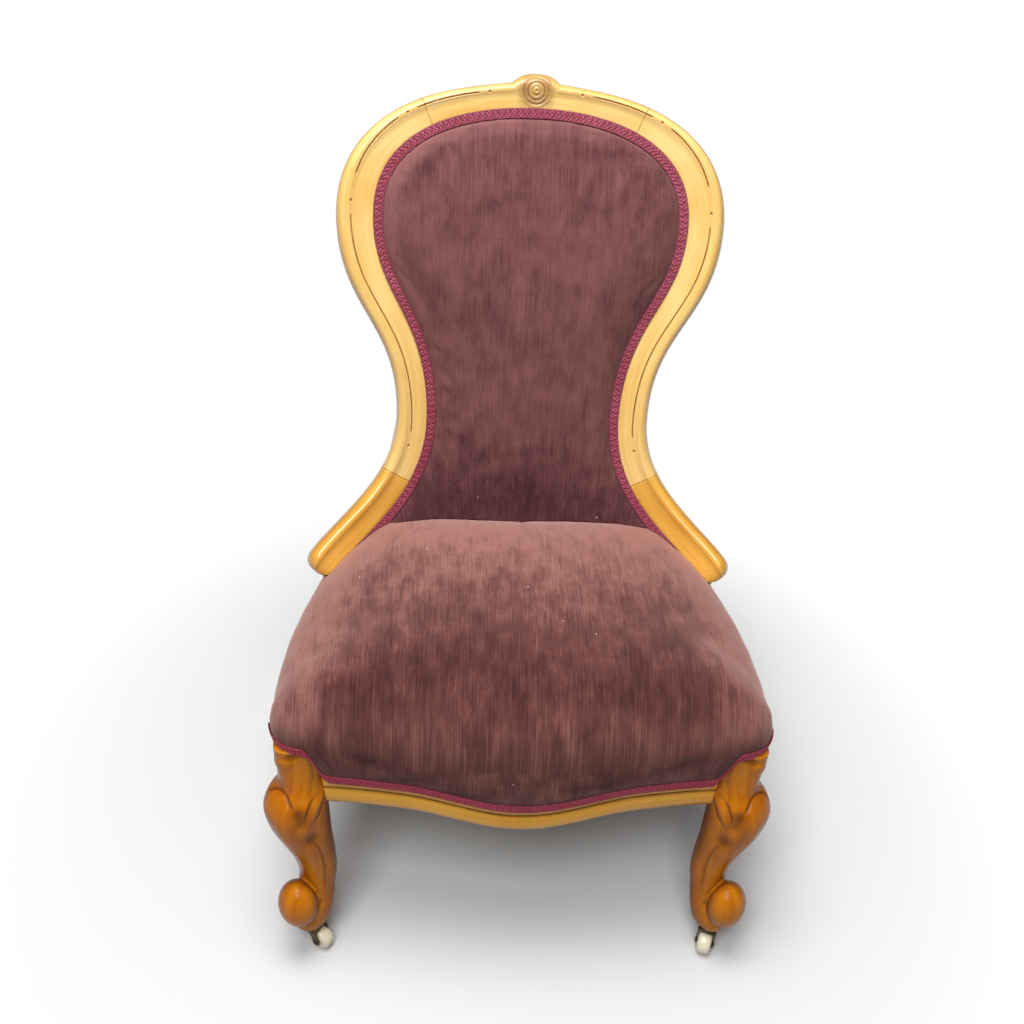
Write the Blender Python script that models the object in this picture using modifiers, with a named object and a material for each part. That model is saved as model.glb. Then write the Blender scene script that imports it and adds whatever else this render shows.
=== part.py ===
"""Grandmother chair: a low spoon-back chair with a show-wood frame, sprung seat and castors.

Metres, +Z up, floor at z = 0. The front looks to -Y, and left and right are the viewer's.
"""

import math

import bmesh
import bpy
import numpy as np
from mathutils import Matrix

# Half the seat's width, from which legs, posts and arms are set in
SEAT_HALF = 0.2925

# Clearances and layers
FIT_GAP = 0.0003
RUN_GAP = 0.0004
COVER_THICK = 0.0017
HESSIAN_THICK = 0.0012
BRAID_WIDTH = 0.012
BRAID_THICK = 0.0022

# Back frame, seen from the front: one Bezier each from crest to shoulder to waist to arm end
CREST_Z = 0.930
CREST_REACH = 0.142
SHOULDER_X = 0.2155
SHOULDER_Z = CREST_Z - 0.130
SHOULDER_RISE = 0.083
SHOULDER_DROP = 0.1005
WAIST_X = 0.1447
WAIST_Z = 0.5606
WAIST_RISE = 0.121
WAIST_DROP = 0.098
ARM_END_X = SEAT_HALF - 0.0405
ARM_END_Z = 0.413
ARM_REACH = 0.031
ARM_SLOPE = math.radians(39)

# Spoon surface that the back frame follows: raked back, and curled forward at its sides
BACK_Y = 0.1207
BACK_RAKE = 0.252
BACK_BOW = 0.12
CURL_TOP = 0.38
CURL_WAIST = 0.40
CURL_FADE = 0.13

# Section of the back frame
CREST_BAND = 0.027
SHOULDER_BAND = 0.0435
WAIST_BAND = 0.037
ARM_BAND = 0.036
BAND_FRONT = 0.0135
BAND_BACK = 0.020
CREST_JOINT_X = 0.130
ARM_JOINT_Z = 0.487
LOBE_RISE = 0.0115
LOBE_HALF = 0.040
ROSETTE_RADIUS = 0.0165
ROSETTE_Z = CREST_Z + 0.0055
ROSETTE_PROUD = 0.004

# Back posts below the waist, which run on as the rear legs
POST_TOP_Z = 0.600
POST_SEAT_X = SEAT_HALF - 0.1005
POST_SEAT_Y = 0.108
POST_SEAT_Z = 0.300
POST_HALF = 0.019
REAR_FOOT_X = POST_SEAT_X + 0.023
REAR_FOOT_Y = 0.292
REAR_FOOT_HALF = 0.0165
REAR_SWEEP = 1.7
STUMP_WIDE = 0.0105
STUMP_DEEP = 0.0125
STUMP_SET = 0.004

# Seat plan: half-width over depth, bowed front and square-rounded corners
WIDEST_Y = -0.205
SIDE_CURVE = 0.76
SEAT_MIDDLE_Y = -0.100
SEAT_FRONT_Y = -0.305
FRONT_BOW = 0.025
FRONT_BOW_HALF = 0.25
SEAT_BACK_Y = 0.087
FRONT_SQUARE = 10.0
BACK_SQUARE = 24.0
OUTLINE_POINTS = 48
OUTLINE_CROWD = 0.10

# Seat heights
RAIL_BOTTOM = 0.250
RAIL_TOP = 0.335
RAIL_THICK = 0.026
SHOW_INSET = 0.0100
REBATE_INSET = 0.0140
COVER_EDGE_Z = 0.299
APRON_DROP = 0.019
APRON_HALF = 0.14
LIP_THICK = 0.014
LIP_STEP = 0.0005
RAIL_TENON = 0.012
STRIP_CLEAR = 0.002
LEG_RISE = 0.038
LEG_RISE_NEAR = 0.044
LEG_RISE_FAR = 0.066
BACK_RISE = RAIL_TOP - COVER_EDGE_Z + 0.014
BACK_RISE_Y = 0.052
BACK_RISE_RUN = 0.014
BACK_RAIL_Y = 0.078
BULGE_Z = 0.345
SEAT_TOP = 0.440
SEAT_DRAW_IN = 0.0105
EDGE_TUCK = 0.010
BLOCK_SIZE = (0.075, 0.024, 0.050)
BLOCK_FROM_LEG = (0.049, 0.029)
BLOCK_FROM_POST = (0.022, 0.020)

# Front cabriole legs
LEG_TOP_Z = 0.316
KNEE_Z = 0.252
ANKLE_Z = 0.129
LEG_X = SEAT_HALF - 0.0305
LEG_Y = -0.246
SCROLL_RADIUS = 0.0265
SCROLL_Z = 0.083
SCROLL_OUT = 0.0135
SCROLL_FLAT = 0.92
FRONT_FOOT_X = LEG_X - 0.004
FRONT_FOOT_Y = -0.286

# Back upholstery
PAD_BOTTOM_Z = 0.402
PAD_EDGE = 0.0060
PAD_BACK = 0.0030
SOFT_GAP = 0.0008
PAD_CROWN = 0.024
PAD_ROLL = 0.060
PAD_MARGIN = 0.0045
PAD_FLAT = BRAID_WIDTH / 2 + PAD_MARGIN
LOWER_RAIL_Z = 0.442
LOWER_RAIL_HIGH = 0.040
LOWER_RAIL_THICK = 0.016
OUTSIDE_LAP = 0.010
OUTSIDE_BOTTOM_Z = 0.262
OUTSIDE_CLEAR = 0.002
OUTSIDE_LAP_RUN = 0.04
OUTSIDE_CURL_RUN = 0.08

# Webbing and springs
STRAP_WIDTH = 0.050
STRAP_THICK = 0.0015
STRAP_PITCH_X = 0.393 * SEAT_HALF
STRAP_PITCH_Y = 0.092
STRAP_MIDDLE_Y = -0.097
STRAP_LAP = 0.018
STRAP_CLEAR = 0.004
SPRING_WIRE = 0.0018
SPRING_END = 0.034
SPRING_WAIST = 0.022
SPRING_TURNS = 4.0
CURL_POINTS = 8
HESSIAN_DOME = 0.026
CANVAS_SHARES = (1.0, 0.97, 0.80, 0.40)

# Castors
WHEEL_RADIUS = 0.016
WHEEL_WIDTH = 0.018
WHEEL_SIDES = 20
CASTOR_TRAIL = 0.016
AXLE_RADIUS = 0.0025
CHEEK_THICK = 0.0020
HORN_TOP = 0.0397
HORN_BRIDGE = 0.0050
SLOT_LONG = 0.12
SLOT_HIGH = 0.08
STEM_RADIUS = 0.0040
STEM_DEEP = 0.016
PLATE_RADIUS = 0.0165
PLATE_THICK = 0.0025
PLATE_BEVEL = 0.002
HORN_EYE = 0.0032
AXLE_PROUD = 0.001
TREAD_SHARE = 0.6
WHEEL_EDGE = 0.80
CASTOR_TURNS = {
    "front_left": math.radians(-30),
    "front_right": math.radians(-112),
    "rear_left": math.radians(75),
    "rear_right": math.radians(105),
}

PLATE_BOTTOM = HORN_TOP + FIT_GAP
FOOT_Z = PLATE_BOTTOM + PLATE_THICK + FIT_GAP
AXLE_Z = WHEEL_RADIUS * math.cos(math.pi / WHEEL_SIDES)
SIDES = {"left": -1, "right": 1}

FINISHES = {
    "honey_wood": ((0.72, 0.38, 0.07), 0.30, 0.0),
    "amber_wood": ((0.42, 0.15, 0.02), 0.32, 0.0),
    "plain_wood": ((0.55, 0.36, 0.17), 0.70, 0.0),
    "velvet": ((0.19, 0.08, 0.08), 0.90, 0.0),
    "gimp": ((0.22, 0.02, 0.06), 0.80, 0.0),
    "hessian": ((0.45, 0.33, 0.17), 0.95, 0.0),
    "stuffing": ((0.33, 0.24, 0.14), 0.95, 0.0),
    "webbing": ((0.50, 0.42, 0.28), 0.90, 0.0),
    "spring_steel": ((0.30, 0.28, 0.26), 0.40, 1.0),
    "old_brass": ((0.20, 0.14, 0.06), 0.45, 1.0),
    "ivory_ceramic": ((0.93, 0.87, 0.72), 0.25, 0.0),
}


def fresh_scene():
    for item in list(bpy.data.objects):
        bpy.data.objects.remove(item, do_unlink=True)
    for name in ("grandmother_chair", "cutters"):
        bpy.context.scene.collection.children.link(bpy.data.collections.new(name))


def finish(name):
    """The Principled material of this finish, made once."""
    found = bpy.data.materials.get(name)
    if found:
        return found
    colour, roughness, metallic = FINISHES[name]
    made = bpy.data.materials.new(name)
    made.use_nodes = True
    shader = made.node_tree.nodes["Principled BSDF"]
    shader.inputs["Base Color"].default_value = (*colour, 1.0)
    shader.inputs["Roughness"].default_value = roughness
    shader.inputs["Metallic"].default_value = metallic
    made.diffuse_color = (*colour, 1.0)
    return made


def place(mesh, name, material=None):
    """An object for the mesh: a part where it has a material, a hidden cutter where it has none."""
    item = bpy.data.objects.new(name, mesh)
    if material:
        mesh.materials.append(finish(material))
        mesh.shade_smooth()
        mesh.set_sharp_from_angle(angle=math.radians(40))
        bpy.data.collections["grandmother_chair"].objects.link(item)
    else:
        item.hide_render = True
        item.display_type = "WIRE"
        bpy.data.collections["cutters"].objects.link(item)
    return item


def mesh_from(build, name):
    work = bmesh.new()
    build(work)
    bmesh.ops.recalc_face_normals(work, faces=work.faces[:])
    mesh = bpy.data.meshes.new(name)
    work.to_mesh(mesh)
    work.free()
    return mesh


def split_quad(work, corners):
    """Two triangles with the same diagonal everywhere, so that layers of one grid stay parallel."""
    a, b, c, d = corners
    work.faces.new((a, b, c))
    work.faces.new((a, c, d))


def loft(name, rings, material=None):
    """A skin through rings of equal point counts, capped at both ends."""

    def build(work):
        points = [[work.verts.new(point) for point in ring] for ring in rings]
        count = len(points[0])
        for low, high in zip(points, points[1:]):
            for i in range(count):
                j = (i + 1) % count
                split_quad(work, (low[i], low[j], high[j], high[i]))
        work.faces.new(points[0])
        work.faces.new(points[-1])

    return place(mesh_from(build, name), name, material)


def slab(name, front, back, material=None):
    """A closed sheet between two grids of rows and columns."""

    def build(work):
        rows, columns = front.shape[:2]
        near = [[work.verts.new(point) for point in row] for row in front]
        far = [[work.verts.new(point) for point in row] for row in back]
        for grid in (near, far):
            for i in range(rows - 1):
                for j in range(columns - 1):
                    corners = (grid[i][j], grid[i][j + 1], grid[i + 1][j + 1], grid[i + 1][j])
                    split_quad(work, corners)
        rim = [(i, 0) for i in range(rows)]
        rim += [(rows - 1, j) for j in range(1, columns)]
        rim += [(i, columns - 1) for i in range(rows - 2, -1, -1)]
        rim += [(0, j) for j in range(columns - 2, 0, -1)]
        for (a, b), (c, d) in zip(rim, rim[1:] + rim[:1]):
            work.faces.new((near[a][b], near[c][d], far[c][d], far[a][b]))

    return place(mesh_from(build, name), name, material)


def dome(name, rings, material=None, backward=0):
    """A closed skin through rings whose first and last close on their middle points.

    The first backward rings run the other way, and take the other diagonal.
    """

    def build(work):
        points = [[work.verts.new(point) for point in ring] for ring in rings]
        count = len(points[0])
        for step, (low, high) in enumerate(zip(points, points[1:])):
            if step < backward:
                low, high = high, low
            for i in range(count):
                j = (i + 1) % count
                split_quad(work, (low[i], low[j], high[j], high[i]))
        for ring, flat in ((points[0], rings[0]), (points[-1], rings[-1])):
            middle = work.verts.new(np.mean(flat, axis=0))
            for i in range(count):
                work.faces.new((ring[i], ring[(i + 1) % count], middle))

    return place(mesh_from(build, name), name, material)


def turned(name, profile, sides, material=None):
    """A closed (radius, height) profile turned about Z with a Screw modifier."""
    mesh = bpy.data.meshes.new(name)
    count = len(profile)
    mesh.from_pydata([(r, 0, z) for r, z in profile], [(i, (i + 1) % count) for i in range(count)], [])
    item = place(mesh, name, material)
    screw = item.modifiers.new("turn", "SCREW")
    screw.steps = sides
    screw.render_steps = sides
    screw.use_merge_vertices = True
    screw.merge_threshold = 0.00001
    return item


def cylinder(name, radius, bottom, top, sides, material=None):
    def build(work):
        bmesh.ops.create_cone(
            work, cap_ends=True, segments=sides, radius1=radius, radius2=radius, depth=top - bottom
        )
        bmesh.ops.translate(work, verts=work.verts[:], vec=(0, 0, (top + bottom) / 2))

    return place(mesh_from(build, name), name, material)


def block(name, size, material=None):
    def build(work):
        bmesh.ops.create_cube(work, size=1.0)
        bmesh.ops.scale(work, verts=work.verts[:], vec=size)

    return place(mesh_from(build, name), name, material)


def combine(item, other, operation="DIFFERENCE"):
    boolean = item.modifiers.new(f"{operation.lower()} {other.name}", "BOOLEAN")
    boolean.operation = operation
    boolean.object = other


def smooth(value):
    value = np.clip(value, 0.0, 1.0)
    return value * value * (3 - 2 * value)


def mirrored(rings, side):
    return [np.asarray(ring) * (side, 1, 1) for ring in rings]


# Back frame


def bezier(a, b, c, d, t):
    a, b, c, d = (np.array(point) for point in (a, b, c, d))
    return (1 - t) ** 3 * a + 3 * (1 - t) ** 2 * t * b + 3 * (1 - t) * t**2 * c + t**3 * d


def frame_line(t):
    """(x, z) of the band's middle on the right: t is 0 at the crest, 1 shoulder, 2 waist, 3 arm end."""
    if t <= 1:
        return bezier(
            (0, CREST_Z), (CREST_REACH, CREST_Z),
            (SHOULDER_X, SHOULDER_Z + SHOULDER_RISE), (SHOULDER_X, SHOULDER_Z), t,
        )
    if t <= 2:
        return bezier(
            (SHOULDER_X, SHOULDER_Z), (SHOULDER_X, SHOULDER_Z - SHOULDER_DROP),
            (WAIST_X, WAIST_Z + WAIST_RISE), (WAIST_X, WAIST_Z), t - 1,
        )
    before_end = (ARM_END_X - ARM_REACH * math.cos(ARM_SLOPE), ARM_END_Z + ARM_REACH * math.sin(ARM_SLOPE))
    return bezier(
        (WAIST_X, WAIST_Z), (WAIST_X, WAIST_Z - WAIST_DROP), before_end, (ARM_END_X, ARM_END_Z), t - 2
    )


def spoon_y(x, z):
    up = z - WAIST_Z
    curl = CURL_TOP + CURL_WAIST * np.exp(-up / CURL_FADE)
    return BACK_Y + BACK_RAKE * up + BACK_BOW * up * up - curl * x * x


def spoon_point(x, z):
    return np.array((x, spoon_y(x, z), z))


def spoon_front(x, z):
    """Unit normal of the spoon surface, towards the sitter."""
    step = 0.0005
    along_x = (spoon_y(x + step, z) - spoon_y(x - step, z)) / (2 * step)
    along_z = (spoon_y(x, z + step) - spoon_y(x, z - step)) / (2 * step)
    normal = np.array((along_x, -1.0, along_z))
    return normal / np.linalg.norm(normal)


def band_axes(t):
    """Point, tangent, front normal and outward direction of the band at t."""
    step = 0.001
    before = spoon_point(*frame_line(max(t - step, 0)))
    after = spoon_point(*frame_line(min(t + step, 3)))
    tangent = (after - before) / np.linalg.norm(after - before)
    point = spoon_point(*frame_line(t))
    front = spoon_front(point[0], point[2])
    front = front - tangent * front.dot(tangent)
    front /= np.linalg.norm(front)
    return point, tangent, front, np.cross(front, tangent)


def band_width(t):
    stations = (CREST_BAND, SHOULDER_BAND, WAIST_BAND, ARM_BAND)
    low = min(int(t), 2)
    return stations[low] + (stations[low + 1] - stations[low]) * smooth(t - low)


BAND_SECTION = (
    (-1.0, 0.50), (-0.75, 0.62), (0.05, 0.80), (0.45, 1.0), (0.80, 0.80), (1.0, 0.10),
    (0.95, -0.55), (0.60, -1.0), (-0.60, -1.0), (-1.0, -0.80),
)


def inner_half(t):
    return band_width(t) / 2 + BRAID_WIDTH / 2


def band_ring(t, grow=0.0, shrink=1.0, ahead=0.0):
    """The band's section at t. Its inner half also reaches under half of the braid."""
    point, tangent, front, outward = band_axes(t)
    lobe = LOBE_RISE * 0.5 * (1 + math.cos(math.pi * min(point[0] / LOBE_HALF, 1.0)))
    ring = []
    for across, out in BAND_SECTION:
        half = band_width(t) / 2 + lobe if across > 0 else inner_half(t)
        deep = BAND_FRONT if out > 0 else BAND_BACK
        side = (across * half + math.copysign(grow, across)) * shrink
        rise = (out * deep + math.copysign(grow, out)) * shrink
        ring.append(point + tangent * ahead + outward * side + front * rise)
    return ring


def crest_joint():
    spread = np.linspace(0, 1, 201)
    return float(np.interp(CREST_JOINT_X, [frame_line(t)[0] for t in spread], spread))


def arm_joint():
    spread = np.linspace(2, 3, 201)
    heights = [-frame_line(t)[1] for t in spread]
    return float(np.interp(-ARM_JOINT_Z, heights, spread))


def joint_gap(t):
    """The step in t that leaves the fit gap between two lengths of band."""
    here = spoon_point(*frame_line(t))
    there = spoon_point(*frame_line(t + 0.01))
    return 0.01 * FIT_GAP / np.linalg.norm(there - here)


def frame_stations():
    """The t values of the band's rings: crest, post and arm lengths, which the pad's rows share."""
    top, scarf = crest_joint(), arm_joint()
    crest = np.linspace(0, top, 9)
    post = np.linspace(top, scarf, 16)
    arm = np.linspace(scarf, 3, 7)
    return crest, post, arm


def crest_rail():
    right = [band_ring(t) for t in frame_stations()[0]]
    rings = mirrored(right[:0:-1], -1) + [np.array(ring) for ring in right]
    rail = loft("crest_rail", rings, "honey_wood")
    boss = turned(
        "rosette_boss",
        (
            (0, BAND_FRONT + ROSETTE_PROUD),
            (ROSETTE_RADIUS * 0.35, BAND_FRONT + ROSETTE_PROUD),
            (ROSETTE_RADIUS * 0.60, BAND_FRONT + ROSETTE_PROUD * 0.3),
            (ROSETTE_RADIUS * 0.85, BAND_FRONT + ROSETTE_PROUD * 0.8),
            (ROSETTE_RADIUS, BAND_FRONT - ROSETTE_PROUD * 0.5),
            (ROSETTE_RADIUS, 0),
            (0, 0),
        ),
        16,
    )
    normal = spoon_front(0, ROSETTE_Z)
    boss.location = spoon_point(0, ROSETTE_Z)
    boss.rotation_euler = (math.pi / 2 - math.asin(normal[2]), 0, 0)
    combine(rail, boss, "UNION")


def post_centre(z):
    """(x, y) of the back post's lower length, from inside the band down to the foot."""
    above = smooth((POST_TOP_Z - z) / (POST_TOP_Z - POST_SEAT_Z))
    below = max(POST_SEAT_Z - z, 0) / (POST_SEAT_Z - FOOT_Z)
    x = WAIST_X + (POST_SEAT_X - WAIST_X) * above + (REAR_FOOT_X - POST_SEAT_X) * below
    y = max(spoon_y(x, z) + (BAND_BACK - BAND_FRONT) / 2, POST_SEAT_Y)
    if z < POST_SEAT_Z:
        y = POST_SEAT_Y + (REAR_FOOT_Y - POST_SEAT_Y) * below**REAR_SWEEP
    return x, y


def post_half(z):
    """Half-width and half-depth of the post's lower length at z."""
    swell = smooth((POST_TOP_Z - z) / (POST_TOP_Z - POST_SEAT_Z))
    taper = smooth((POST_SEAT_Z - z) / (POST_SEAT_Z - FOOT_Z))
    wide = WAIST_BAND * 0.42 + (POST_HALF - WAIST_BAND * 0.42) * swell
    deep = BAND_FRONT + (POST_HALF - BAND_FRONT) * swell
    return wide + (REAR_FOOT_HALF - POST_HALF) * taper, deep + (REAR_FOOT_HALF - POST_HALF) * taper


def rounded_ring(x, y, z, wide, deep, square=4.0, count=12, turn=0.0):
    """A level superellipse, which is a rounded rectangle for a high square."""
    ring = []
    for angle in (np.arange(count) + 0.5) * 2 * math.pi / count:
        c, s = math.cos(angle), math.sin(angle)
        size = (abs(c) ** square + abs(s) ** square) ** (-1 / square)
        u, v = wide * c * size, deep * s * size
        right = u * math.cos(turn) - v * math.sin(turn)
        back = u * math.sin(turn) + v * math.cos(turn)
        ring.append((x + right, y + back, z))
    return ring


def post_rings(grow=0.0):
    rings = []
    for z in np.linspace(POST_TOP_Z, FOOT_Z, 13):
        wide, deep = post_half(z)
        rings.append(rounded_ring(*post_centre(z), z, wide + grow, deep + grow))
    return rings


def post_band_rings(grow=0.0):
    stations = frame_stations()[1]
    first = stations[0] + joint_gap(stations[0])
    return [band_ring(t, grow) for t in (first, *stations[1:])]


def arm_rings(grow=0.0):
    """The band from its scarf joint to the arm's rounded end."""
    stations = frame_stations()[2]
    first = stations[0] + joint_gap(stations[0])
    rings = [band_ring(t, grow) for t in (first, *stations[1:])]
    knob = ARM_BAND / 2
    for turn in np.radians((30, 55, 75)):
        rings.append(band_ring(3, grow, math.cos(turn), knob * math.sin(turn)))
    return rings


def stump_rings(grow=0.0):
    """The short stump that carries the arm's end on the side rail."""
    end = spoon_point(ARM_END_X, ARM_END_Z)
    foot_x = seat_half(end[1]) - REBATE_INSET - RAIL_THICK / 2
    rings = []
    for share in np.linspace(0, 1, 5):
        x = foot_x + (end[0] - STUMP_SET - foot_x) * smooth(share)
        z = RAIL_TOP + FIT_GAP + (end[2] - RAIL_TOP) * share
        wide, deep = STUMP_WIDE + grow, STUMP_DEEP + grow
        rings.append(rounded_ring(x, end[1] + STUMP_SET, z, wide, deep, count=10))
    return rings


def back_posts_and_arms():
    for word, side in SIDES.items():
        post = loft(f"{word}_back_post", mirrored(post_band_rings(), side), "honey_wood")
        lower = loft(f"{word}_post_lower", mirrored(post_rings(), side))
        combine(post, lower, "UNION")
        combine(post, stem_bore(f"rear_{word}"))
        loft(f"{word}_post_clear", mirrored(post_rings(FIT_GAP), side))
        loft(f"{word}_band_clear", mirrored(post_band_rings(FIT_GAP), side))
        arm = loft(f"{word}_arm", mirrored(arm_rings(), side), "amber_wood")
        stump = loft(f"{word}_stump", mirrored(stump_rings(), side))
        combine(arm, stump, "UNION")
        combine(arm, bpy.data.objects[f"{word}_post_clear"])
        loft(f"{word}_arm_clear", mirrored(arm_rings(FIT_GAP), side))
        loft(f"{word}_stump_clear", mirrored(stump_rings(FIT_GAP), side))


# Seat frame


def seat_half(y):
    return SEAT_HALF - SIDE_CURVE * (y - WIDEST_Y) ** 2


def seat_front(x):
    return SEAT_FRONT_Y + FRONT_BOW * 0.5 * (1 - math.cos(math.pi * min(abs(x) / FRONT_BOW_HALF, 1.0)))


def apron_drop(x):
    return APRON_DROP * 0.5 * (1 + math.cos(math.pi * min(abs(x) / APRON_HALF, 1.0)))


def seat_radius(angle):
    """Distance from the seat's middle to its outline along this plan angle."""
    low, high = 0.0, 0.6
    for _ in range(40):
        radius = (low + high) / 2
        x = radius * math.cos(angle)
        y = SEAT_MIDDLE_Y + radius * math.sin(angle)
        ahead = y < SEAT_MIDDLE_Y
        reach = seat_front(x) if ahead else SEAT_BACK_Y
        square = FRONT_SQUARE if ahead else BACK_SQUARE
        across = abs(x) / max(seat_half(y), 0.02)
        along = (y - SEAT_MIDDLE_Y) / (reach - SEAT_MIDDLE_Y)
        if across**square + along**square < 1:
            low = radius
        else:
            high = radius
    return low


def seat_outline():
    """(direction, radius) pairs round the seat's plan, closer together at its corners."""
    angles = np.linspace(-math.pi / 2, 1.5 * math.pi, 721)
    radii = np.array([seat_radius(angle) for angle in angles])
    plan = np.stack((radii * np.cos(angles), SEAT_MIDDLE_Y + radii * np.sin(angles)), axis=1)
    lifts = [abs(edge_lift(*b) - edge_lift(*a)) / LEG_RISE for a, b in zip(plan, plan[1:])]
    steps = np.linalg.norm(np.diff(plan, axis=0), axis=1) + OUTLINE_CROWD * np.array(lifts)
    run = np.concatenate(([0.0], np.cumsum(steps)))
    marks = np.linspace(0, run[-1], OUTLINE_POINTS, endpoint=False)
    chosen = np.interp(marks, run, angles)
    return [((math.cos(a), math.sin(a)), float(np.interp(a, angles, radii))) for a in chosen]


def leg_lift(x, y):
    """How far the cover's edge rises over a front leg's shoulder, from 0 to 1."""
    far = math.hypot(abs(x) - SEAT_HALF + SHOW_INSET, y - seat_front(SEAT_HALF) - SHOW_INSET)
    return float(smooth((LEG_RISE_FAR - far) / (LEG_RISE_FAR - LEG_RISE_NEAR)))


def edge_lift(x, y):
    """Rise of the cover's lower edge over the front legs, and over the rails at the back."""
    return LEG_RISE * leg_lift(x, y) + BACK_RISE * float(smooth((y - BACK_RISE_Y) / BACK_RISE_RUN))


def cover_edge(x, y):
    """Height of the braid's top edge along the seat's outline."""
    drop = apron_drop(x) if y < WIDEST_Y else 0.0
    return COVER_EDGE_Z - drop + edge_lift(x, y)


def bulge_level(x, y):
    """Height of the seat's widest level, a little higher where its edge rises."""
    return BULGE_Z + 0.5 * edge_lift(x, y)


def skin_inset(x, y, z):
    """How far the cover is drawn in below its widest level."""
    bulge = bulge_level(x, y)
    low = cover_edge(x, y) - EDGE_TUCK
    return SEAT_DRAW_IN * (1 - 0.6 * leg_lift(x, y)) * max((bulge - z) / (bulge - low), 0) ** 2


def plan_point(direction, radius):
    return radius * direction[0], SEAT_MIDDLE_Y + radius * direction[1]


def skin_point(direction, radius, z, inward):
    """A point of the seat cover between its lower edge and its widest level."""
    inset = skin_inset(*plan_point(direction, radius), z) + inward
    return (*plan_point(direction, radius - inset), z)


def cover_rings(outline, inward=0.0, levels=2, dome_steps=6):
    """Rings of the seat cover's skin from its lower edge to near its middle."""
    rings = []
    for level in range(levels):
        ring = []
        for direction, radius in outline:
            x, y = plan_point(direction, radius)
            low = cover_edge(x, y) - EDGE_TUCK
            z = low + (bulge_level(x, y) - low) * level / levels
            ring.append(skin_point(direction, radius, z, inward))
        rings.append(ring)
    for turn in np.linspace(0, math.pi / 2, dome_steps + 1)[:-1]:
        ring = []
        for direction, radius in outline:
            bulge = bulge_level(*plan_point(direction, radius))
            far = radius * math.cos(turn) ** (2 / 3) - inward * math.cos(turn)
            z = bulge + (SEAT_TOP - bulge) * math.sin(turn) - inward * math.sin(turn)
            ring.append((*plan_point(direction, far), z))
        rings.append(ring)
    return rings


def rail_ring(outer, inward, edge, lip, grow):
    """An upright rail section, from its outer face, inward direction, strip top and lip bottom."""
    step = REBATE_INSET - SHOW_INSET - grow
    thick, lip_back = RAIL_THICK + grow, LIP_THICK + grow
    bottom, top = RAIL_BOTTOM - grow, RAIL_TOP + grow
    section = (
        (-grow, edge), (-grow, lip - grow), (lip_back, lip - grow), (lip_back + LIP_STEP, bottom),
        (thick, bottom), (thick, top), (step, top), (step, edge),
    )
    return [(*(np.array(outer) + np.array(inward) * deep), z) for deep, z in section]


def rail_edge(x, y):
    """Top of the rail's show-wood strip, just under the braid."""
    drop = apron_drop(x) if y < WIDEST_Y else 0.0
    return COVER_EDGE_Z - drop - EDGE_TUCK - STRIP_CLEAR


def front_rail_rings(grow=0.0):
    rings = []
    for x in np.linspace(RAIL_TENON - LEG_X, LEG_X - RAIL_TENON, 17):
        y = seat_front(x) + SHOW_INSET
        lip = RAIL_BOTTOM - apron_drop(x) - LIP_STEP
        rings.append(rail_ring((x, y), (0, 1), rail_edge(x, y), lip, grow))
    return rings


def side_rail_rings(side, grow=0.0):
    rings = []
    for y in np.linspace(LEG_Y, POST_SEAT_Y, 9):
        slope = -2 * SIDE_CURVE * (y - WIDEST_Y)
        inward = np.array((-1.0, slope)) / math.hypot(1, slope)
        outer = np.array((seat_half(y), y)) + inward * SHOW_INSET
        rings.append(rail_ring(outer, inward, rail_edge(0, WIDEST_Y), RAIL_BOTTOM, grow))
    return mirrored(rings, side)


def back_rail_rings(grow=0.0):
    front, back = BACK_RAIL_Y - grow, BACK_RAIL_Y + RAIL_THICK + grow
    low, high = RAIL_BOTTOM - grow, RAIL_TOP + grow
    corners = ((front, low), (back, low), (back, high), (front, high))
    end = POST_SEAT_X - POST_HALF * 0.7
    return [[(x, y, z) for y, z in corners] for x in (-end, end)]


def seat_rails():
    front = loft("front_seat_rail", front_rail_rings(), "honey_wood")
    back = loft("back_seat_rail", back_rail_rings(), "plain_wood")
    loft("front_rail_clear", front_rail_rings(FIT_GAP))
    loft("back_rail_clear", back_rail_rings(FIT_GAP))
    for word, side in SIDES.items():
        leg = bpy.data.objects[f"{word}_leg_clear"]
        post = bpy.data.objects[f"{word}_post_clear"]
        rail = loft(f"{word}_seat_rail", side_rail_rings(side), "amber_wood")
        loft(f"{word}_rail_clear", side_rail_rings(side, FIT_GAP))
        combine(rail, leg)
        combine(rail, post)
        combine(front, leg)
        combine(back, post)


def corner_blocks():
    """Glue blocks across the seat frame's corners, trimmed to the rails, legs and posts."""
    places = {
        "front": (LEG_X - BLOCK_FROM_LEG[0], LEG_Y + BLOCK_FROM_LEG[1], 45),
        "rear": (POST_SEAT_X - BLOCK_FROM_POST[0], BACK_RAIL_Y - BLOCK_FROM_POST[1], -45),
    }
    for word, side in SIDES.items():
        for end, (x, y, turn) in places.items():
            piece = block(f"{end}_{word}_corner_block", BLOCK_SIZE, "plain_wood")
            piece.location = (side * x, y, (RAIL_BOTTOM + RAIL_TOP) / 2)
            piece.rotation_euler = (0, 0, math.radians(side * turn))
            support = "leg" if end == "front" else "post"
            cross = "front" if end == "front" else "back"
            for cutter in (f"{word}_rail_clear", f"{cross}_rail_clear", f"{word}_{support}_clear"):
                combine(piece, bpy.data.objects[cutter])


# Front legs


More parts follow.
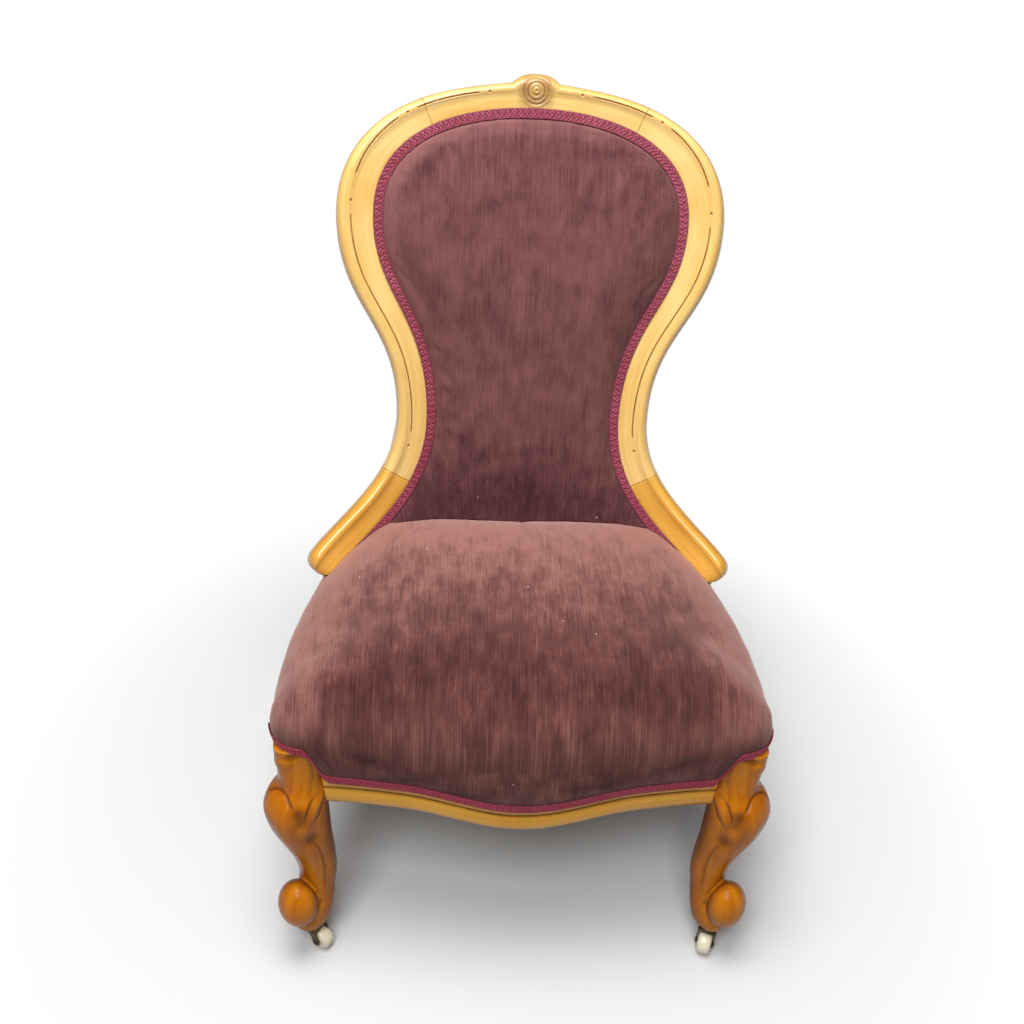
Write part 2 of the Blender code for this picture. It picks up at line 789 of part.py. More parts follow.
def leg_stations():
    """(z, centre x, centre y, half-size, squareness) down the cabriole leg."""
    foot_x, foot_y = FRONT_FOOT_X, FRONT_FOOT_Y
    knee_y = LEG_Y - 0.016
    return (
        (RAIL_TOP, LEG_X - 0.013, LEG_Y + 0.011, 0.0160, 5.0),
        (LEG_TOP_Z + 0.003, LEG_X - 0.013, LEG_Y + 0.011, 0.0160, 5.0),
        (LEG_TOP_Z, LEG_X, LEG_Y, 0.0270, 4.5),
        (LEG_TOP_Z - 0.014, LEG_X, LEG_Y, 0.0275, 4.0),
        (KNEE_Z + 0.032, LEG_X - 0.006, LEG_Y - 0.003, 0.0268, 3.2),
        (KNEE_Z + 0.022, LEG_X - 0.004, LEG_Y - 0.007, 0.0290, 2.8),
        (KNEE_Z + 0.014, LEG_X - 0.001, LEG_Y - 0.013, 0.0325, 2.6),
        (KNEE_Z, LEG_X + 0.002, knee_y, 0.0340, 2.6),
        (KNEE_Z - 0.035, LEG_X + 0.0005, knee_y - 0.004, 0.0335, 2.5),
        ((KNEE_Z + ANKLE_Z) / 2, LEG_X - 0.006, knee_y - 0.006, 0.0285, 2.4),
        (ANKLE_Z + 0.025, LEG_X - 0.014, knee_y - 0.006, 0.0240, 2.4),
        (ANKLE_Z, LEG_X - 0.017, knee_y - 0.008, 0.0220, 2.4),
        ((ANKLE_Z + SCROLL_Z) / 2, LEG_X - 0.015, foot_y + 0.012, 0.0215, 2.4),
        (SCROLL_Z - 0.010, foot_x - 0.007, foot_y + 0.003, 0.0220, 2.4),
        (FOOT_Z + 0.008, foot_x - 0.002, foot_y, 0.0210, 2.4),
        (FOOT_Z, foot_x, foot_y, 0.0185, 2.3),
    )


def leg_rings(grow=0.0):
    rings = []
    for z, x, y, half, square in leg_stations():
        turn = math.radians(45) if square < 3 else 0.0
        top = 3 * grow if z == RAIL_TOP else 0.0
        rings.append(rounded_ring(x, y, z + top, half + grow, half + grow, square, 14, turn))
    return rings


def scroll(name, side):
    """The rolled foot: a flattened ball outward of the shaft on the leg's diagonal."""

    def build(work):
        bmesh.ops.create_uvsphere(work, u_segments=14, v_segments=8, radius=SCROLL_RADIUS)

    ball = place(mesh_from(build, name), name)
    ball.location = (side * (FRONT_FOOT_X + SCROLL_OUT), FRONT_FOOT_Y - SCROLL_OUT, SCROLL_Z)
    ball.rotation_euler = (math.radians(90), 0, math.radians(side * 45))
    ball.scale = (1.0, 1.0, SCROLL_FLAT)
    return ball


def front_legs():
    for word, side in SIDES.items():
        leg = loft(f"{word}_front_leg", mirrored(leg_rings(), side), "amber_wood")
        combine(leg, scroll(f"{word}_scroll", side), "UNION")
        combine(leg, stem_bore(f"front_{word}"))
        loft(f"{word}_leg_clear", mirrored(leg_rings(FIT_GAP), side))


# Seat upholstery


def strap_level(over):
    """Height of a strap's middle where it lies over, or under, the ones that it crosses."""
    wave = (STRAP_THICK + FIT_GAP) / 2
    middle = RAIL_BOTTOM - FIT_GAP - STRAP_THICK / 2 - wave
    return middle + (wave if over else -wave)


def strap(name, start, crossings, end, fixed, along_x, first_over):
    """A woven webbing strap that laps the rails' undersides at both ends."""
    reach = STRAP_WIDTH / 2 + STRAP_CLEAR
    stops = [(start, True), (start + STRAP_LAP, True)]
    for i, crossing in enumerate(crossings):
        over = first_over == (i % 2 == 0)
        stops += [(crossing - reach, over), (crossing + reach, over)]
    stops += [(end - STRAP_LAP, True), (end, True)]
    half, thin = STRAP_WIDTH / 2, STRAP_THICK / 2
    corners = ((-half, -thin), (half, -thin), (half, thin), (-half, thin))
    rings = []
    for along, over in stops:
        z = strap_level(over)
        if along_x:
            rings.append([(along, fixed + side, z + up) for side, up in corners])
        else:
            rings.append([(fixed + side, along, z + up) for side, up in corners])
    loft(name, rings, "webbing")


def webbing():
    columns = [step * STRAP_PITCH_X for step in (-1, 0, 1)]
    rows = [STRAP_MIDDLE_Y + step * STRAP_PITCH_Y for step in (-1, 0, 1)]
    for i, x in enumerate(columns):
        front = seat_front(abs(x) + STRAP_WIDTH / 2) + SHOW_INSET + LIP_THICK + STRAP_CLEAR
        back = BACK_RAIL_Y + STRAP_LAP
        strap(f"webbing_front_to_back_{i + 1}", front, rows, back, x, False, i % 2 == 0)
    for i, y in enumerate(rows):
        narrow = min(seat_half(y - STRAP_WIDTH / 2), seat_half(y + STRAP_WIDTH / 2))
        reach = narrow - SHOW_INSET - RAIL_THICK + STRAP_LAP
        strap(f"webbing_side_to_side_{i + 1}", -reach, columns, reach, y, True, i % 2 == 1)


def hessian_level(share):
    """Underside of the spring canvas: level with the rail tops at its edge, flat over the springs."""
    lapped, flat = CANVAS_SHARES[1:3]
    return RAIL_TOP + FIT_GAP + HESSIAN_DOME * float(smooth((lapped - share) / (lapped - flat)))


def seat_springs():
    """Waisted coil springs, from the webbing up to the canvas."""
    bottom = strap_level(True) + STRAP_THICK / 2 + FIT_GAP + SPRING_WIRE
    top = hessian_level(0.0) - FIT_GAP - SPRING_WIRE
    spots = [(0.0, 0)] + [(sx * STRAP_PITCH_X, sy) for sx in (-1, 1) for sy in (-1, 1)]
    count = int(SPRING_TURNS * CURL_POINTS) + 1
    share = np.linspace(0, 1, count)
    radius = SPRING_WAIST + (SPRING_END - SPRING_WAIST) * np.abs(2 * share - 1) ** 1.5
    angle = share * SPRING_TURNS * 2 * math.pi
    height = bottom + (top - bottom) * share
    path = np.stack((radius * np.cos(angle), radius * np.sin(angle), height), axis=1)
    apart = np.linalg.norm(path[:, None] - path[None], axis=2)
    order = np.abs(np.arange(count)[:, None] - np.arange(count)[None])
    least = apart[order > CURL_POINTS // 2].min() - 2 * SPRING_WIRE
    print(f"seat springs: least gap between turns {least * 1000:.2f} mm")
    for number, (x, row) in enumerate(spots, 1):
        curve = bpy.data.curves.new(f"seat_spring_{number}", "CURVE")
        curve.dimensions = "3D"
        curve.bevel_depth = SPRING_WIRE
        curve.bevel_resolution = 1
        curve.use_fill_caps = True
        line = curve.splines.new("POLY")
        line.points.add(count - 1)
        for point, spot in zip(line.points, path):
            point.co = (*spot, 1.0)
        curve.materials.append(finish("spring_steel"))
        item = bpy.data.objects.new(f"seat_spring_{number}", curve)
        item.location = (x, STRAP_MIDDLE_Y + row * STRAP_PITCH_Y, 0)
        bpy.data.collections["grandmother_chair"].objects.link(item)


def canvas_rings(outline, lift):
    """Level rings of the spring canvas from its lapped edge to near its middle."""
    rings = []
    for share in CANVAS_SHARES:
        ring = []
        for direction, radius in outline:
            far = (radius - REBATE_INSET - STRAP_LAP / 2) * share
            ring.append((*plan_point(direction, far), hessian_level(share) + lift))
        rings.append(ring)
    return rings


def seat_upholstery():
    outline = seat_outline()
    under, over = canvas_rings(outline, 0.0), canvas_rings(outline, HESSIAN_THICK)
    canvas = dome("spring_canvas", under[::-1] + over, "hessian", len(under))
    outer, inner = cover_rings(outline), cover_rings(outline, COVER_THICK)
    cover = dome("seat_cover", inner[::-1] + outer, "velvet", len(inner))
    floor = canvas_rings(outline, HESSIAN_THICK + FIT_GAP)
    stuffed = cover_rings(outline, COVER_THICK + FIT_GAP, levels=0)
    stuffing = dome("seat_stuffing", floor[::-1] + stuffed, "stuffing", len(floor))
    dome("seat_clear", cover_rings(outline, -SOFT_GAP))
    for word in SIDES:
        arm, stump = bpy.data.objects[f"{word}_arm_clear"], bpy.data.objects[f"{word}_stump_clear"]
        for piece in (cover, stuffing, canvas):
            combine(piece, stump)
        for piece in (cover, stuffing):
            combine(piece, arm)


def seat_braid():
    """Gimp along the cover's lower edge, from one back post round the front to the other."""
    outline = seat_outline()
    half = len(outline) // 2
    rings = []
    for direction, radius in outline[half:] + outline[:half]:
        x, y = plan_point(direction, radius)
        if y > BACK_RISE_Y:
            continue
        ring = []
        for z, thick in ((0, 0), (1, 0), (1, 1), (0, 1)):
            level = cover_edge(x, y) - BRAID_WIDTH * (1 - z)
            inset = min(skin_inset(x, y, level) - FIT_GAP, SHOW_INSET - 2 * SOFT_GAP)
            ring.append((*plan_point(direction, radius - inset + BRAID_THICK * thick), level))
        rings.append(ring)
    loft("seat_braid", rings, "gimp")


# Back upholstery


def inner_edge(t):
    """Point of the pad's edge, a soft gap inside the band."""
    point, _, _, outward = band_axes(t)
    return point - outward * (inner_half(t) + SOFT_GAP)


def pad_bottom():
    """The t at which the pad's edge reaches its lowest row."""
    spread = np.linspace(2, 3, 101)
    return float(np.interp(-PAD_BOTTOM_Z, [-inner_edge(t)[2] for t in spread], spread))


def pad_grid(columns):
    """(x, z, y correction) over the back opening, in rows across at the frame's stations."""
    crest, post, arm = frame_stations()
    last = pad_bottom()
    first = crest[len(crest) * 2 // 3]
    marks = [t for t in (*crest, *post[1:], *arm[1:]) if first <= t < last] + [last]
    edge = np.array([inner_edge(t) for t in np.linspace(0, last, 241)])
    top_x, _, top_z = inner_edge(first)
    grid = np.zeros((len(marks), columns, 3))
    for i, t in enumerate(marks):
        x_edge, y_edge, z_edge = inner_edge(t)
        fade = (1 - i / (len(marks) - 1)) ** 3
        inside = np.linspace(PAD_FLAT - x_edge, x_edge - PAD_FLAT, columns - 2)
        for j, x in enumerate((-x_edge, *inside, x_edge)):
            u = x / x_edge
            arch = np.interp(abs(u) * top_x, edge[:80, 0], edge[:80, 2]) - top_z
            grid[i, j] = (x, z_edge + arch * fade, (y_edge - spoon_y(x_edge, z_edge)) * u * u)
    return grid, edge


def pad_surface(grid, depth):
    """Points over the grid at a depth in front of the spoon surface, given per point."""
    out = np.zeros(grid.shape)
    for i, row in enumerate(grid):
        for j, (x, z, fix) in enumerate(row):
            out[i, j] = spoon_point(x, z) + (0, fix, 0) + spoon_front(x, z) * depth[i, j]
    return out


def pad_crown(grid, edge):
    """Depth of the stuffing's front: flat under the braid, then rolled up to its crown."""
    both = np.vstack((edge, edge * (-1, 1, 1)))[:, (0, 2)]
    far = np.linalg.norm(grid[:, :, None, :2] - both[None, None], axis=3).min(axis=2)
    rolled = np.clip((far - PAD_FLAT) / PAD_ROLL, 0, 1)
    under = np.pad(far < BRAID_WIDTH / 2 + SOFT_GAP, 1, mode="edge")
    rows, columns = far.shape
    beside = [under[i:i + rows, j:j + columns] for i in range(3) for j in range(3)]
    rolled[np.any(beside, axis=0)] = 0
    return PAD_EDGE + PAD_CROWN * np.sqrt(1 - (1 - rolled) ** 2)


def back_upholstery():
    grid, edge = pad_grid(11)
    crown = pad_crown(grid, edge)
    flat = np.ones(crown.shape)
    layers = {
        "back_canvas": (flat * (PAD_BACK - FIT_GAP), flat * (PAD_BACK - FIT_GAP - HESSIAN_THICK), "hessian"),
        "back_stuffing": (crown, flat * PAD_BACK, "stuffing"),
        "back_cover": (crown + FIT_GAP + COVER_THICK, crown + FIT_GAP, "velvet"),
    }
    for name, (front, back, material) in layers.items():
        layer = slab(name, pad_surface(grid, front), pad_surface(grid, back), material)
        combine(layer, bpy.data.objects["seat_clear"])


def back_braid():
    """Gimp over the join of back cover and frame, up one arm and down the other."""
    crest, post, arm = frame_stations()
    last = pad_bottom()
    marks = [t for t in (*crest, *post[1:], *arm[1:]) if t < last] + [last]
    low = PAD_EDGE + COVER_THICK + FIT_GAP + 2 * SOFT_GAP
    half = BRAID_WIDTH / 2
    corners = ((-half, low), (half, low), (half, low + BRAID_THICK), (-half, low + BRAID_THICK))
    right = []
    for t in marks:
        point, _, front, outward = band_axes(t)
        middle = point - outward * inner_half(t)
        right.append([middle + outward * side + front * rise for side, rise in corners])
    rings = mirrored(right[:0:-1], -1) + [np.array(ring) for ring in right]
    braid = loft("back_braid", rings, "gimp")
    combine(braid, bpy.data.objects["seat_clear"])


def lower_back_rail():
    """The rail behind the pad's foot, raked with the back and let in between the posts."""
    size = (2 * post_centre(LOWER_RAIL_Z)[0], LOWER_RAIL_THICK, LOWER_RAIL_HIGH)
    rail = block("lower_back_rail", size, "plain_wood")
    normal = spoon_front(0, LOWER_RAIL_Z)
    centre = spoon_point(0, LOWER_RAIL_Z) - normal * (SOFT_GAP + LOWER_RAIL_THICK / 2)
    rail.location = centre
    rail.rotation_euler = (-math.asin(normal[2]), 0, 0)
    for word in SIDES:
        combine(rail, bpy.data.objects[f"{word}_post_clear"])


def outside_half(z, edge):
    """Half-width of the outside back: lapped on the frame's back above, between the posts below."""
    inner = float(np.interp(-z, -edge[:, 2], edge[:, 0]))
    lapped = float(smooth((z - POST_TOP_Z) / OUTSIDE_LAP_RUN))
    lap = (OUTSIDE_LAP + OUTSIDE_CLEAR) * lapped - OUTSIDE_CLEAR
    if z > WAIST_Z:
        return inner + lap
    return min(inner + lap, post_centre(z)[0] - post_half(z)[0] - 4 * FIT_GAP)


def outside_back():
    """The plain cloth back: lapped behind the frame above, and drawn flat between the posts below."""
    crest, post, arm = frame_stations()
    edge = np.array([inner_edge(t) for t in np.linspace(crest[5], 3, 200)])
    heights = [edge[0, 2] + OUTSIDE_LAP / 2]
    heights += [inner_edge(t)[2] for t in (*crest[6:-1:2], *post[::2]) if inner_edge(t)[2] > WAIST_Z]
    heights += list(np.linspace(WAIST_Z - 0.02, OUTSIDE_BOTTOM_Z, 9))
    columns = np.linspace(-1, 1, 7)
    sheet = np.zeros((len(heights), len(columns), 3))
    for i, z in enumerate(heights):
        half = outside_half(z, edge)
        for j, u in enumerate(columns):
            x = u * half
            curl = float(smooth((z - LOWER_RAIL_Z - LOWER_RAIL_HIGH / 2) / OUTSIDE_CURL_RUN))
            middle = spoon_y(0, z)
            y = middle + (spoon_y(x, z) - middle) * curl
            y -= (BAND_BACK + 2 * SOFT_GAP) / spoon_front(x, z)[1]
            sheet[i, j] = (x, max(y, BACK_RAIL_Y + RAIL_THICK + FIT_GAP), z)
    slab("outside_back_cover", sheet, sheet + (0, COVER_THICK, 0), "velvet")


# Castors


def foot_spot(corner):
    end, word = corner.split("_")
    x, y = (FRONT_FOOT_X, FRONT_FOOT_Y) if end == "front" else (REAR_FOOT_X, REAR_FOOT_Y)
    return SIDES[word] * x, y


def stem_bore(corner):
    bore = cylinder(f"{corner}_bore", STEM_RADIUS + RUN_GAP, 0.0, HORN_TOP + STEM_DEEP + RUN_GAP, 16)
    bore.location = (*foot_spot(corner), 0)
    return bore


def horn_outline():
    """Side view of the castor's horn: a level top drawn down to a round end at the axle."""
    eye = AXLE_RADIUS + HORN_EYE
    points = [(-PLATE_RADIUS * 0.62, HORN_TOP), (-PLATE_RADIUS * 0.62, HORN_TOP - HORN_BRIDGE)]
    for angle in np.radians(np.linspace(215, 380, 6)):
        points.append((CASTOR_TRAIL + eye * math.cos(angle), AXLE_Z + eye * math.sin(angle)))
    points.append((CASTOR_TRAIL + eye * 0.6, HORN_TOP))
    return points


def castor(corner):
    x, y = foot_spot(corner)
    swivel = bpy.data.objects.new(f"{corner}_swivel", None)
    swivel.location = (x, y, 0)
    swivel.rotation_euler = (0, 0, CASTOR_TURNS[corner])
    bpy.data.collections["grandmother_chair"].objects.link(swivel)

    plate = turned(
        f"{corner}_castor_plate",
        (
            (STEM_RADIUS + RUN_GAP, PLATE_BOTTOM + PLATE_THICK), (PLATE_RADIUS, PLATE_BOTTOM + PLATE_THICK),
            (PLATE_RADIUS - PLATE_BEVEL, PLATE_BOTTOM), (STEM_RADIUS + RUN_GAP, PLATE_BOTTOM),
        ),
        16,
        "old_brass",
    )
    plate.location = (x, y, 0)

    slot = WHEEL_WIDTH / 2 + 2 * RUN_GAP
    half = slot + CHEEK_THICK
    rings = [[(u, side * half, v) for u, v in horn_outline()] for side in (-1, 1)]
    horn = loft(f"{corner}_castor_horn", rings, "old_brass")
    gap = block(f"{corner}_horn_slot", (SLOT_LONG, 2 * slot, SLOT_HIGH))
    gap.location = (0, 0, HORN_TOP - HORN_BRIDGE - SLOT_HIGH / 2)
    stem = cylinder(f"{corner}_stem", STEM_RADIUS, HORN_TOP - HORN_BRIDGE / 2, HORN_TOP + STEM_DEEP, 16)
    hole = cylinder(f"{corner}_axle_hole", AXLE_RADIUS + FIT_GAP, -0.03, 0.03, 12)
    hole.location = (CASTOR_TRAIL, 0, AXLE_Z)
    hole.rotation_euler = (math.pi / 2, 0, 0)
    combine(horn, gap)
    combine(horn, stem, "UNION")
    combine(horn, hole)

    reach = half + AXLE_PROUD
    axle = cylinder(f"{corner}_castor_axle", AXLE_RADIUS, -reach, reach, 12, "old_brass")
    axle.location = (CASTOR_TRAIL, 0, AXLE_Z)
    axle.rotation_euler = (math.pi / 2, 0, 0)

    bore, wide = AXLE_RADIUS + RUN_GAP, WHEEL_WIDTH / 2
    wheel = turned(
        f"{corner}_castor_wheel",
        (
            (bore, wide), (WHEEL_RADIUS * WHEEL_EDGE, wide), (WHEEL_RADIUS, wide * TREAD_SHARE),
            (WHEEL_RADIUS, -wide * TREAD_SHARE), (WHEEL_RADIUS * WHEEL_EDGE, -wide), (bore, -wide),
        ),
        WHEEL_SIDES,
        "ivory_ceramic",
    )
    wheel.location = (CASTOR_TRAIL, 0, AXLE_Z)
    facet_down = Matrix.Rotation(math.pi / 2, 4, "X") @ Matrix.Rotation(math.pi / WHEEL_SIDES, 4, "Z")
    wheel.rotation_euler = facet_down.to_euler()
    for piece in (horn, axle, wheel, gap, stem, hole):
        piece.parent = swivel


def main():
    fresh_scene()
    crest_rail()
    back_posts_and_arms()
    front_legs()
    seat_rails()
    corner_blocks()
    webbing()
    seat_springs()
    seat_upholstery()
    seat_braid()
    lower_back_rail()
    back_upholstery()
    back_braid()
    outside_back()
    for corner in CASTOR_TURNS:
        castor(corner)
    bpy.context.view_layer.update()


main()
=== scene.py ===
"""Dressed grandmother chair: show-wood frame, velvet upholstery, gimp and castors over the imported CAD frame.

Metres, +Z up, floor at z = 0. The front looks to -Y, and left and right are the viewer's.
"""

import math

import bmesh
import bpy
import numpy as np
from mathutils import Euler, Matrix, Vector, kdtree, noise


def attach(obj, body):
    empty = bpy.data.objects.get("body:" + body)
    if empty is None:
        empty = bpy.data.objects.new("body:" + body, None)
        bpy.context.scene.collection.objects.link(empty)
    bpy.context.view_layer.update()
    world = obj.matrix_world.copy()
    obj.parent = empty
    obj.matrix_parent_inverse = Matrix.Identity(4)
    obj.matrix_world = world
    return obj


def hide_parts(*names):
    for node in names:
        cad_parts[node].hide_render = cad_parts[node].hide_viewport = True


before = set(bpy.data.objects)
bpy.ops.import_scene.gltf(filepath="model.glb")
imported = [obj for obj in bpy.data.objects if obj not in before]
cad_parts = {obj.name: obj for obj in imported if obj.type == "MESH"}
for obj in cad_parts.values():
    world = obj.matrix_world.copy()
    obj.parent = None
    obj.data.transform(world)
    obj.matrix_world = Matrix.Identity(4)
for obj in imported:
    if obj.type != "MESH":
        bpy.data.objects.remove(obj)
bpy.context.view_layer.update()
SIDES = {"left": -1, "right": 1}
CORNERS = ("front_left", "front_right", "rear_left", "rear_right")

# Sizes that the CAD model also has
SEAT_HALF = 0.2925
BRAID_WIDTH = 0.012
CREST_Z, CREST_REACH = 0.930, 0.142
SHOULDER_X, SHOULDER_Z, SHOULDER_RISE, SHOULDER_DROP = 0.2155, 0.800, 0.083, 0.1005
WAIST_X, WAIST_Z, WAIST_RISE, WAIST_DROP = 0.1447, 0.5606, 0.121, 0.098
ARM_END_X, ARM_END_Z, ARM_REACH = 0.252, 0.413, 0.031
ARM_SLOPE = math.radians(39)
BACK_Y, BACK_RAKE, BACK_BOW = 0.1207, 0.252, 0.12
CURL_TOP, CURL_WAIST, CURL_FADE = 0.38, 0.40, 0.13
CREST_BAND, SHOULDER_BAND, WAIST_BAND, ARM_BAND = 0.027, 0.0435, 0.037, 0.036
BAND_FRONT, BAND_BACK = 0.0135, 0.020
CREST_JOINT_X, ARM_JOINT_Z = 0.130, 0.487
LOBE_RISE, ROSETTE_Z = 0.0115, 0.9355
POST_TOP_Z, POST_SEAT_X, POST_SEAT_Y, POST_SEAT_Z = 0.600, 0.192, 0.108, 0.300
POST_HALF, POST_SQUARE = 0.019, 4.0
REAR_FOOT_X, REAR_FOOT_Y, REAR_FOOT_HALF, REAR_SWEEP = 0.215, 0.292, 0.0165, 1.7
WIDEST_Y, SIDE_CURVE = -0.205, 0.76
SEAT_MIDDLE_Y, SEAT_FRONT_Y, SEAT_BACK_Y = -0.100, -0.305, 0.087
FRONT_BOW, FRONT_BOW_HALF = 0.025, 0.25
FRONT_SQUARE, BACK_SQUARE = 10.0, 24.0
RAIL_BOTTOM, RAIL_TOP, RAIL_THICK = 0.250, 0.335, 0.026
SHOW_INSET, REBATE_INSET = 0.0100, 0.0140
APRON_DROP, APRON_HALF = 0.019, 0.14
BACK_RISE, BACK_RISE_Y, BACK_RISE_RUN = 0.050, 0.052, 0.014
BULGE_Z, SEAT_TOP, EDGE_TUCK = 0.345, 0.440, 0.010
LEG_X, LEG_Y = 0.262, -0.246
FRONT_FOOT_X, FRONT_FOOT_Y = 0.258, -0.286
SCROLL_RADIUS, SCROLL_Z, SCROLL_OUT = 0.0265, 0.083, 0.0135
FOOT_Z = 0.0428
PAD_BOTTOM_Z, PAD_EDGE, PAD_CROWN, PAD_ROLL = 0.402, 0.0060, 0.024, 0.060
PAD_BACK, HESSIAN_THICK, HESSIAN_DOME = 0.0030, 0.0012, 0.026
BACK_RAIL_Y, LOWER_RAIL_Z, OUTSIDE_BOTTOM_Z = 0.078, 0.442, 0.262
STRAP_WIDTH, STRAP_THICK, STRAP_LAP = 0.050, 0.0015, 0.018
STRAP_PITCH_X, STRAP_PITCH_Y, STRAP_MIDDLE_Y = 0.115, 0.092, -0.097
WHEEL_RADIUS, WHEEL_WIDTH, CASTOR_TRAIL, AXLE_RADIUS = 0.016, 0.018, 0.016, 0.0025
AXLE_Z = WHEEL_RADIUS * math.cos(math.pi / 20)
HORN_TOP, PLATE_RADIUS, PLATE_THICK = 0.0397, 0.0165, 0.0025
CASTOR_TURNS = {"front_left": -30, "front_right": -112, "rear_left": 75, "rear_right": 105}

# Sizes of the dressed chair alone: the cover's lower edge, its rise over the legs, and the seat's wider gimp
COVER_EDGE_Z, SEAT_DRAW_IN = 0.304, 0.0030
LEG_RISE, LEG_RISE_NEAR, LEG_RISE_FAR = 0.041, 0.034, 0.060
SEAT_BRAID_WIDTH, SEAT_BRAID_LIFT = 0.014, 0.002
FIT_GAP, SOFT_GAP = 0.0003, 0.0008


# Meshes and pieces


def smooth(value):
    value = np.clip(value, 0.0, 1.0)
    return value * value * (3 - 2 * value)


def bump(value):
    """1 at 0, falling smoothly to 0 at 1 and beyond."""
    return 1 - smooth(np.abs(value))


def unit(vectors):
    return vectors / np.linalg.norm(vectors, axis=-1, keepdims=True)


def lengths_along(points):
    """Length from the first of a line's points to each of them."""
    return np.concatenate(([0.0], np.cumsum(np.linalg.norm(np.diff(points, axis=0), axis=1))))


def put(name, data):
    """An object with this mesh, lamp or camera, in the scene."""
    item = bpy.data.objects.new(name, data)
    bpy.context.scene.collection.objects.link(item)
    return item


def skin(name, rows, wrap=False, caps=False, **values):
    """A mesh through rows of points, with float values per point kept as attributes."""
    rows = np.asarray(rows, float)
    high, wide = rows.shape[:2]
    index = np.arange(high * wide).reshape(high, wide)
    round_index = np.hstack((index, index[:, :1])) if wrap else index
    corners = (round_index[:-1, :-1], round_index[:-1, 1:], round_index[1:, 1:], round_index[1:, :-1])
    faces = np.stack(corners, axis=-1).reshape(-1, 4).tolist()
    if caps:
        faces += [index[0][::-1].tolist(), index[-1].tolist()]
    mesh = bpy.data.meshes.new(name)
    mesh.from_pydata(rows.reshape(-1, 3).tolist(), [], faces)
    for key, value in values.items():
        write_value(mesh, key, np.broadcast_to(value, (high, wide)))
    return outward(mesh)


def write_value(mesh, key, value):
    layer = mesh.attributes.new(key, "FLOAT", "POINT")
    layer.data.foreach_set("value", np.ascontiguousarray(value, np.float32).ravel())


def outward(mesh):
    """Turns the faces' normals outward."""
    work = bmesh.new()
    work.from_mesh(mesh)
    bmesh.ops.recalc_face_normals(work, faces=work.faces[:])
    work.to_mesh(mesh)
    work.free()
    return mesh


def points_of(mesh, key="co"):
    found = np.zeros(len(mesh.vertices) * 3)
    if key == "co":
        mesh.vertices.foreach_get("co", found)
    else:
        mesh.vertex_normals.foreach_get("vector", found)
    return found.reshape(-1, 3)


def move_points(mesh, points):
    mesh.vertices.foreach_set("co", np.asarray(points, float).ravel())
    mesh.update()


def piece(name, mesh, material, body="chair", stands_for=()):
    """A finished piece that rides on a body and stands for CAD nodes."""
    item = put(name, mesh)
    mesh.materials.clear()
    mesh.materials.append(material)
    mesh.shade_smooth()
    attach(item, body)
    if stands_for:
        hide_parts(*stands_for)
    return item


def applied(mesh, *modifiers):
    """The mesh after these modifiers: (type, settings) pairs."""
    item = put("work", mesh)
    for kind, settings in modifiers:
        modifier = item.modifiers.new(kind.lower(), kind)
        for key, value in settings.items():
            setattr(modifier, key, value)
    deps = bpy.context.evaluated_depsgraph_get()
    made = bpy.data.meshes.new_from_object(item.evaluated_get(deps), depsgraph=deps)
    bpy.data.objects.remove(item, do_unlink=True)
    made.name = mesh.name
    return made


def joined(name, meshes):
    """One mesh of several closed shells."""
    work = bmesh.new()
    for mesh in meshes:
        work.from_mesh(mesh)
    made = bpy.data.meshes.new(name)
    work.to_mesh(made)
    work.free()
    return made


def read_value(mesh, key):
    found = np.zeros(len(mesh.vertices), np.float32)
    mesh.attributes[key].data.foreach_get("value", found)
    return found


def united(name, first, second):
    """The Boolean union of two closed meshes, with each point's values from the nearest point before it."""
    places = np.concatenate((points_of(first), points_of(second)))
    shared = set(first.attributes.keys()) & set(second.attributes.keys())
    keys = [key for key in ("hollow", "along", "across") if key in shared]
    values = {key: np.concatenate((read_value(first, key), read_value(second, key))) for key in keys}
    other = put("other", second)
    made = applied(first, ("BOOLEAN", {"operation": "UNION", "object": other, "solver": "EXACT"}))
    bpy.data.objects.remove(other, do_unlink=True)
    made.name = name
    search = kdtree.KDTree(len(places))
    for number, place in enumerate(places):
        search.insert(place, number)
    search.balance()
    nearest = [search.find(place)[1] for place in points_of(made)]
    for key, value in values.items():
        if key in made.attributes:
            made.attributes.remove(made.attributes[key])
        write_value(made, key, value[nearest])
    return made


def turned_rows(profile, steps):
    """Rows of points of a (radius, height) outline turned about Z."""
    angles = np.linspace(0, 2 * math.pi, steps, endpoint=False)
    c, s = np.cos(angles), np.sin(angles)
    return [np.stack((r * c, r * s, np.full(steps, z)), axis=1) for r, z in profile]


def lathe(name, profile):
    """An outline turned about Z and closed at both ends."""
    return skin(name, turned_rows(profile, 24), wrap=True, caps=True)


def ring_lathe(name, profile):
    """A closed outline turned about Z as a ring with a bore."""
    mesh = skin(name, turned_rows(np.concatenate((profile, profile[:1])), 56), wrap=True)
    work = bmesh.new()
    work.from_mesh(mesh)
    bmesh.ops.remove_doubles(work, verts=work.verts[:], dist=1e-6)
    work.to_mesh(mesh)
    work.free()
    return outward(mesh)


def rounded(points, passes=2, closed=True):
    """An outline, or an open line that keeps its ends, with its corners cut round."""
    points = np.asarray(points, float)
    for _ in range(passes):
        ends = points[:1], points[-1:]
        after = np.roll(points, -1, axis=0)
        cut = np.stack((0.75 * points + 0.25 * after, 0.25 * points + 0.75 * after), axis=1)
        points = cut.reshape(-1, points.shape[-1])
        if not closed:
            points = np.concatenate((ends[0], points[1:-3], ends[1]))
    return points


def noise_at(points, scale, seed=0.0):
    """Smooth noise from about -1 to 1 at these points."""
    return np.array([noise.noise(Vector(p) * scale + Vector((seed, seed, seed))) for p in points])


# Materials


def link(tree, value, socket):
    if isinstance(value, bpy.types.NodeSocket):
        tree.links.new(value, socket)
    else:
        socket.default_value = value


